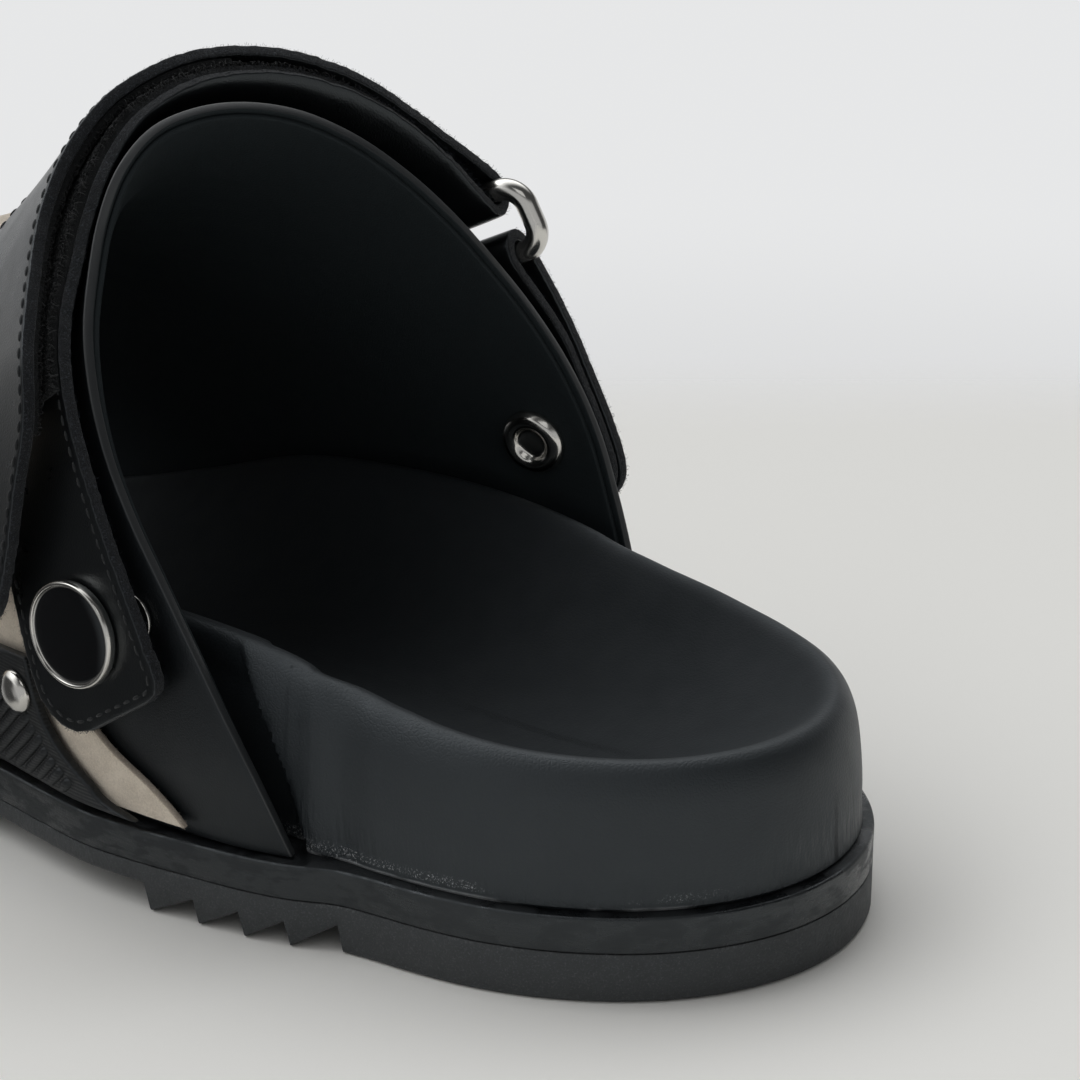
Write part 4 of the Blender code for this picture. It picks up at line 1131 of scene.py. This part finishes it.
def scatter(made, shape):
    """Copies of one small shape strewn over faces, each turned and sized at random."""
    sockets = {"Mesh": made.input("Geometry"), "Density": made.input("Density"), "Seed": made.input("Seed")}
    spread = made.node("GeometryNodeDistributePointsOnFaces", sockets=sockets)
    facing = Value(made, spread.socket.node.outputs["Rotation"])
    sockets = {0: (-0.7, -0.7, -math.pi), 1: (0.7, 0.7, math.pi), "Seed": made.input("Seed")}
    lean = made.node("FunctionNodeRandomValue", {"data_type": "FLOAT_VECTOR"}, sockets)
    turn = made.node("FunctionNodeRotateRotation", {"rotation_space": "LOCAL"}, [facing, lean])
    sockets = {2: 0.55, 3: 1.0, "Seed": made.input("Seed")}
    share = made.node("FunctionNodeRandomValue", {"data_type": "FLOAT"}, sockets, 1)
    sockets = {"Points": spread, "Instance": shape, "Rotation": turn, "Scale": share * made.input("Size")}
    return made.end(made.node("GeometryNodeInstanceOnPoints", sockets=sockets))


def loop_maker():
    """Small open loops of thread standing on faces."""
    made = Maker("loops", Density=float, Size=float, Seed=int)
    sockets = {"Resolution": 7, "Radius": 0.5, "Sweep Angle": math.radians(250)}
    arc = made.node("GeometryNodeCurveArc", {"mode": "RADIUS"}, sockets)
    sockets = {"Geometry": made.wire(arc, 0.07, 3), "Rotation": (math.pi / 2, math.radians(35), 0.0)}
    return scatter(made, made.node("GeometryNodeTransform", sockets=sockets))


def fibre_maker():
    """Short bent fibres standing on faces."""
    made = Maker("fibres", Density=float, Size=float, Seed=int)
    sockets = {"Resolution": 3, "Start": (0, 0, -0.1), "Middle": (0.1, 0.0, 0.6), "End": (0.5, 0.1, 0.9)}
    line = made.node("GeometryNodeCurveQuadraticBezier", sockets=sockets)
    return scatter(made, made.wire(line, 0.045, 3))


STITCHES = stitch_maker()
BARS = bar_maker()
LOOPS = loop_maker()
FIBRES = fibre_maker()


def paths_piece(name, paths):
    """A mesh of open paths for the makers."""
    points = np.vstack(paths)
    edges = []
    start = 0
    for path in paths:
        edges += [(start + k, start + k + 1) for k in range(len(path) - 1)]
        start += len(path)
    return raw_piece(name, points, [], [], edges)


INNER_REACH = 58.0
OUTER_REACH = 118.0
TAB_REACH = 19.0


def stitches(strap, tab):
    """Rows of stitches: end of a strip, reach, inset, lift, then pitch, length and thickness of a bead."""
    rows = (
        ("strap_stitches", strap, False, OUTER_REACH, 1.0, 0.05 - STRAP_WALL / 2, 2.45, 1.7, 0.62),
        ("strap_end_stitches", strap, True, INNER_REACH, 1.5, STRAP_WALL / 2 - 0.12, 2.1, 1.6, 0.6),
        ("tab_stitches", tab, False, TAB_REACH, 1.8, 0.02 - TAB_WALL / 2, 2.3, 1.7, 0.65),
    )
    for name, strip, from_start, reach, inset, lift, pitch, long, thick in rows:
        run, across = strip.border(from_start, reach, inset)
        piece = paths_piece(name, [strip.place(run, across, lift)])
        STITCHES.run(piece, THREAD, Pitch=pitch * MM, Length=long * MM, Thickness=thick * MM)
        dress(piece, "strap_leather")


RIBS = 46
RIB_RADIUS = 0.85
RIB_SUNK = 0.25
RIB_ENDS_SUNK = 1.1
RIB_FIRST_V = 0.19
RIB_PITCH_V = 0.0205
RIB_LEAN_V = 0.13
RIB_MARGIN_V = (0.018, 0.02)


def guard_ribs(side, lateral):
    """Ribs across the guard, leaning back towards their tops."""
    rise = np.linspace(GUARD_U[1], GUARD_U[-2], 26)
    back = column(GUARD_RISE_V, rise, 1)
    climb = (rise - rise[0]) / (rise[-1] - rise[0])
    paths = []
    for k in range(RIBS):
        v = RIB_FIRST_V + RIB_PITCH_V * k - climb * RIB_LEAN_V
        held = (v > back + RIB_MARGIN_V[0]) & (v < GUARD_FRONT_V - RIB_MARGIN_V[1])
        if held.sum() > 4:
            u = guard_side(rise[held], lateral)
            sunk = RIB_ENDS_SUNK * np.abs(np.linspace(-1, 1, held.sum())) ** 12
            paths.append(on_vamp(u, v[held], GUARD_OFF + GUARD_WALL - RIB_SUNK - sunk))
    piece = paths_piece(f"guard_{side}_ribs", paths)
    dress(BARS.run(piece, RIBBED, Radius=RIB_RADIUS * MM), "ribbed_rubber")


# Bands of pile between the strap's two layers: place along the strap, thickness, then loops a square metre,
# their size and the seed.
PILES = (
    ("loop", (43.0, 128.0), 0.75, 9.0e6, 1.25, 4),
    ("hook", (192.0, 258.0), 0.9, 6.0e6, 1.2, 7),
)
PILE_SUNK = 1.4
PILE_ROWS = 140
# Where the band and its threads begin and end across the strap, and points between.
BAND_ACROSS = (0.7, 21.0, 22)
THREADS_ACROSS = (0.5, 5.0, 8)


def pile(strip, name, span, thick, density, size, seed):
    """A band of pile with its threads standing where the strap's back edge shows."""
    along = np.linspace(*span, PILE_ROWS)
    lift = STRAP_WALL / 2
    run, across = np.meshgrid(along, np.linspace(*BAND_ACROSS), indexing="ij")
    grid = strip.place(run, across, lift + thick)
    dress(sheet(f"{name}_band", grid, thick + PILE_SUNK, -strip.sign, [PILE], 0.2, 2), "strap_leather")
    run, across = np.meshgrid(along, np.linspace(*THREADS_ACROSS), indexing="ij")
    ground = strip.place(run, across, lift + thick - 0.05)
    piece = raw_piece(f"{name}_pile", ground.reshape(-1, 3), faces_of(*run.shape, strip.sign < 0), [])
    dress(LOOPS.run(piece, PILE, Density=density, Size=size * MM, Seed=seed), "strap_leather")


FIBRE_DENSITY = 9.0e6
LINT_SIZE = 0.48
SUEDE_FIBRE_SIZE = 0.6


def edge_fibres(strip, name, seed):
    """Loose fibres on both cut edges of a strip."""
    lift = np.linspace(-strip.wall / 2, strip.wall / 2, 5)
    run = np.broadcast_to(strip.run[:, None], (len(strip.run), len(lift)))
    points = []
    faces = []
    for radii, far in zip(strip.ends_round, (False, True)):
        trim = trimmed(strip.run, radii)
        across = strip.width - trim if far else trim
        start = len(points) * run.size
        points.append(strip.place(run, across[:, None], lift).reshape(-1, 3))
        over = far != (strip.sign < 0)
        faces += [tuple(start + k for k in face) for face in faces_of(*run.shape, over)]
    piece = raw_piece(name, np.vstack(points), faces, [])
    dress(FIBRES.run(piece, LINT, Density=FIBRE_DENSITY, Size=LINT_SIZE * MM, Seed=seed), "strap_leather")


def suede_fibres():
    """Loose fibres on the pale panel's back edge."""
    u = np.linspace(*SUEDE_ENDS_U, 241)
    height = np.linspace(SUEDE_OFF, SUEDE_OFF + SUEDE_WALL, 4)
    u, height = np.meshgrid(u, height, indexing="ij")
    grid = on_vamp(u, column(SUEDE_U_V, u[:, 0], 1)[:, None] + np.zeros(u.shape), height)
    piece = raw_piece("suede_fibres", grid.reshape(-1, 3), faces_of(*u.shape, True), [])
    FIBRES.run(piece, SUEDE_EDGE, Density=FIBRE_DENSITY, Size=SUEDE_FIBRE_SIZE * MM, Seed=11)
    dress(piece, "pale_suede")


def ring_look(steps=14):
    middle, girth, bar, out = ring_frame()
    a, b = RING_PITCH / 2, RING_INSIDE / 2 + WIRE_RADIUS
    path = []
    for k, (sa, sb) in enumerate(((1, 1), (-1, 1), (-1, -1), (1, -1))):
        for angle in np.radians(np.linspace(k * 90, k * 90 + 90, steps)):
            along = sa * (a - RING_CORNER) + RING_CORNER * math.cos(angle)
            across = sb * (b - RING_CORNER) + RING_CORNER * math.sin(angle)
            path.append(middle + girth * along + bar * across)
    path = np.asarray(path)
    points = []
    faces = []
    n, sides = len(path), 20
    for k in range(n):
        ahead = path[(k + 1) % n] - path[k - 1]
        ahead /= np.linalg.norm(ahead)
        side = np.cross(ahead, out)
        for angle in np.linspace(0, 2 * math.pi, sides, endpoint=False):
            points.append(path[k] + WIRE_RADIUS * (math.cos(angle) * side + math.sin(angle) * out))
        for i in range(sides):
            j, other = (i + 1) % sides, (k + 1) % n
            faces.append((k * sides + i, k * sides + j, other * sides + j, other * sides + i))
    piece = settle(raw_piece("ring_look", points, faces, [NICKEL]))
    dress(piece, "nickel", "ring")


def seat(u, back, offset):
    v = back / vamp_length(np.asarray(u))
    out = vamp_normal(u, v)
    return vamp(u, v) + out * offset, out


def fasteners():
    """The turned pieces: node, profile, place and axis, finish, slot and sides."""
    face = SNAP_STRAP_OFF + STRAP_WALL / 2
    room = face - STRAP_WALL
    post = ((0, room), (SNAP_POST_R, room), (SNAP_POST_R, 0), (0, 0))
    snap = seat(SNAP_U, SNAP_BACK, face)
    stud = seat(SPARE_U, SPARE_BACK, 0.0)
    place, out = seat(SOCKET_U, SOCKET_BACK, -VAMP_WALL)
    socket = (place, -out)
    lift = SOCKET_TAB_OFF + TAB_WALL * 1.5 + GAP + TAB_RIVET_LIFT - TAB_RIVET_SUNK
    tab = seat(SOCKET_U, SOCKET_BACK, lift)
    out = vamp_normal(GUARD_RIVET_U, GUARD_RIVET_V)
    guard = (vamp(GUARD_RIVET_U, GUARD_RIVET_V) + out * (GUARD_OFF + GUARD_WALL), out)
    rows = (
        ("snap_cap", rounded(SNAP_CAP_R_Z), snap, NICKEL, "nickel", 72),
        ("snap_inlay", SNAP_INLAY_R_Z, snap, DARK, "dark_face", 72),
        ("snap_post", post, seat(SNAP_U, SNAP_BACK, 0.0), NICKEL, "nickel", 24),
        ("spare_stud", rounded(SPARE_STUD_R_Z), stud, NICKEL, "nickel", 72),
        ("socket_ring", rounded(SOCKET_R_Z), socket, NICKEL, "nickel", 72),
        ("tab_rivet", rounded(TAB_RIVET_R_Z), tab, NICKEL, "nickel", 72),
        ("guard_rivet", rounded(GUARD_RIVET_R_Z), guard, NICKEL, "nickel", 72),
    )
    for node, profile, (place, out), finish, slot, sides in rows:
        dress(turned(f"{node}_look", profile, place, out, finish, sides), slot, node)


CAMERA_PLACE = (-294.713, -142.571, 172.677)
CAMERA_YAW = 56.9418
CAMERA_PITCH = 19.4019
CAMERA_LENS = 89.989


def heading():
    yaw = math.radians(CAMERA_YAW)
    return np.array([math.sin(yaw), math.cos(yaw), 0.0])


def camera():
    lens = bpy.data.cameras.new("photo_camera")
    lens.lens = CAMERA_LENS
    lens.sensor_width = 36.0
    lens.sensor_fit = "HORIZONTAL"
    lens.clip_start = 0.01
    eye = bpy.data.objects.new("photo_camera", lens)
    eye.location = np.array(CAMERA_PLACE) * MM + ZERO
    pitch = math.radians(CAMERA_PITCH)
    ahead = heading() * math.cos(pitch) - np.array([0.0, 0.0, math.sin(pitch)])
    eye.rotation_euler = Vector(ahead).to_track_quat("-Z", "Y").to_euler()
    bpy.context.scene.collection.objects.link(eye)
    bpy.context.scene.camera = eye


# Soft lights: place, what they face, width, height and power.
LIGHTS = (
    ("behind_camera", (-470.0, -330.0, 640.0), (0.0, 60.0, 20.0), 460.0, 360.0, 0.35),
)


def lights():
    for name, place, target, wide, high, power in LIGHTS:
        lamp = bpy.data.lights.new(name, "AREA")
        lamp.shape = "RECTANGLE"
        lamp.size = wide * MM
        lamp.size_y = high * MM
        lamp.energy = power
        holder = bpy.data.objects.new(name, lamp)
        holder.location = np.array(place) * MM + ZERO
        holder.rotation_euler = (Vector(target) - Vector(place)).to_track_quat("-Z", "Y").to_euler()
        bpy.context.scene.collection.objects.link(holder)


# Strength of the light from each part of the room, and of what the camera itself sees, low and high.
ROOM_LIGHT = 0.06
WALL_LIGHT = 0.65
CEILING_LIGHT = 2.05
LEFT_LIGHT = 0.95
BEHIND_LIGHT = 0.45
SEEN_LOW, SEEN_MORE = 0.727, 0.08


def world():
    room = bpy.data.worlds.new("studio")
    bpy.context.scene.world = room
    room.use_nodes = True
    sky = Tree(room.node_tree)
    look = sky.node("ShaderNodeTexCoord", out="Generated")
    x, y, z = (sky.node("ShaderNodeSeparateXYZ", sockets=[look], out=axis) for axis in "XYZ")
    ahead = heading()
    forward = x * float(ahead[0]) + y * float(ahead[1])
    wall = forward.between(0.2, 0.7) * (1.0 - z.between(0.1, 0.35))
    leftward = y * float(ahead[0]) - x * float(ahead[1])
    ceiling = z.between(0.45, 0.8) * (forward * 0.85 + leftward * 0.5).between(-0.3, 0.5)
    left_sky = leftward.between(0.35, 0.8) * z.between(0.2, 0.45)
    behind = (0.0 - forward).between(0.3, 0.6) * (1.0 - z.between(0.25, 0.5))
    light = ROOM_LIGHT + WALL_LIGHT * wall + CEILING_LIGHT * ceiling + LEFT_LIGHT * left_sky
    light = light + BEHIND_LIGHT * behind
    seen = SEEN_LOW + SEEN_MORE * z.between(-0.285, -0.21)
    straight = sky.node("ShaderNodeLightPath", out="Is Camera Ray")
    glow = room.node_tree.nodes["Background"]
    glow.inputs["Color"].default_value = (0.985, 0.992, 1.0, 1.0)
    room.node_tree.links.new((light + (seen - light) * straight).socket, glow.inputs["Strength"])


FLOOR_EDGE = 590.0
FLOOR_FADE = 35.0
FLOOR_LEFT = -0.27
FLOOR_REACH = 2.0


def floor():
    """A pale floor that fades into the background behind the shoe; gloss doesn't mirror its left part."""
    made = Finish("floor", (0.93, 0.92, 0.885), 0.75, Specular_IOR_Level=0.2)
    ahead = heading()
    start = np.array(CAMERA_PLACE) * MM + ZERO
    x, y = made.axis("X") - float(start[0]), made.axis("Y") - float(start[1])
    reach = x * float(ahead[0]) + y * float(ahead[1])
    right = x * float(ahead[1]) - y * float(ahead[0])
    pitch = math.radians(CAMERA_PITCH)
    depth = reach * math.cos(pitch) + CAMERA_PLACE[2] * MM * math.sin(pitch)
    near = 1.0 - reach.between((FLOOR_EDGE - FLOOR_FADE) * MM, (FLOOR_EDGE + FLOOR_FADE) * MM)
    mirrored = made.node("ShaderNodeLightPath", out="Is Glossy Ray")
    hidden = mirrored * (1.0 - (right - depth * FLOOR_LEFT).between(-0.01, 0.01))
    made.set("Alpha", near * (1.0 - hidden))
    mesh = bpy.data.meshes.new("floor")
    corners = [(x * FLOOR_REACH, y * FLOOR_REACH, 0) for x, y in ((-1, -1), (1, -1), (1, 1), (-1, 1))]
    mesh.from_pydata(corners, [], [(0, 1, 2, 3)])
    mesh.materials.append(made.material)
    plane = bpy.data.objects.new("floor", mesh)
    bpy.context.scene.collection.objects.link(plane)


camera()
world()
lights()
floor()
outsole_look()
midsole_look()
footbed_look()
upper_look()
suede_look()
for side, lateral in (("medial", False), ("lateral", True)):
    guard_look(side, lateral)
    guard_ribs(side, lateral)
STRAP_STRIP = strap_strip()
TAB_STRIP = tab_strip()
strip_looks(STRAP_STRIP, TAB_STRIP)
stitches(STRAP_STRIP, TAB_STRIP)
for row in PILES:
    pile(STRAP_STRIP, *row)
edge_fibres(STRAP_STRIP, "strap_fibres", 21)
edge_fibres(TAB_STRIP, "tab_fibres", 22)
suede_fibres()
ring_look()
fasteners()

bpy.context.scene.view_settings.view_transform = "Standard"
bpy.context.view_layer.update()
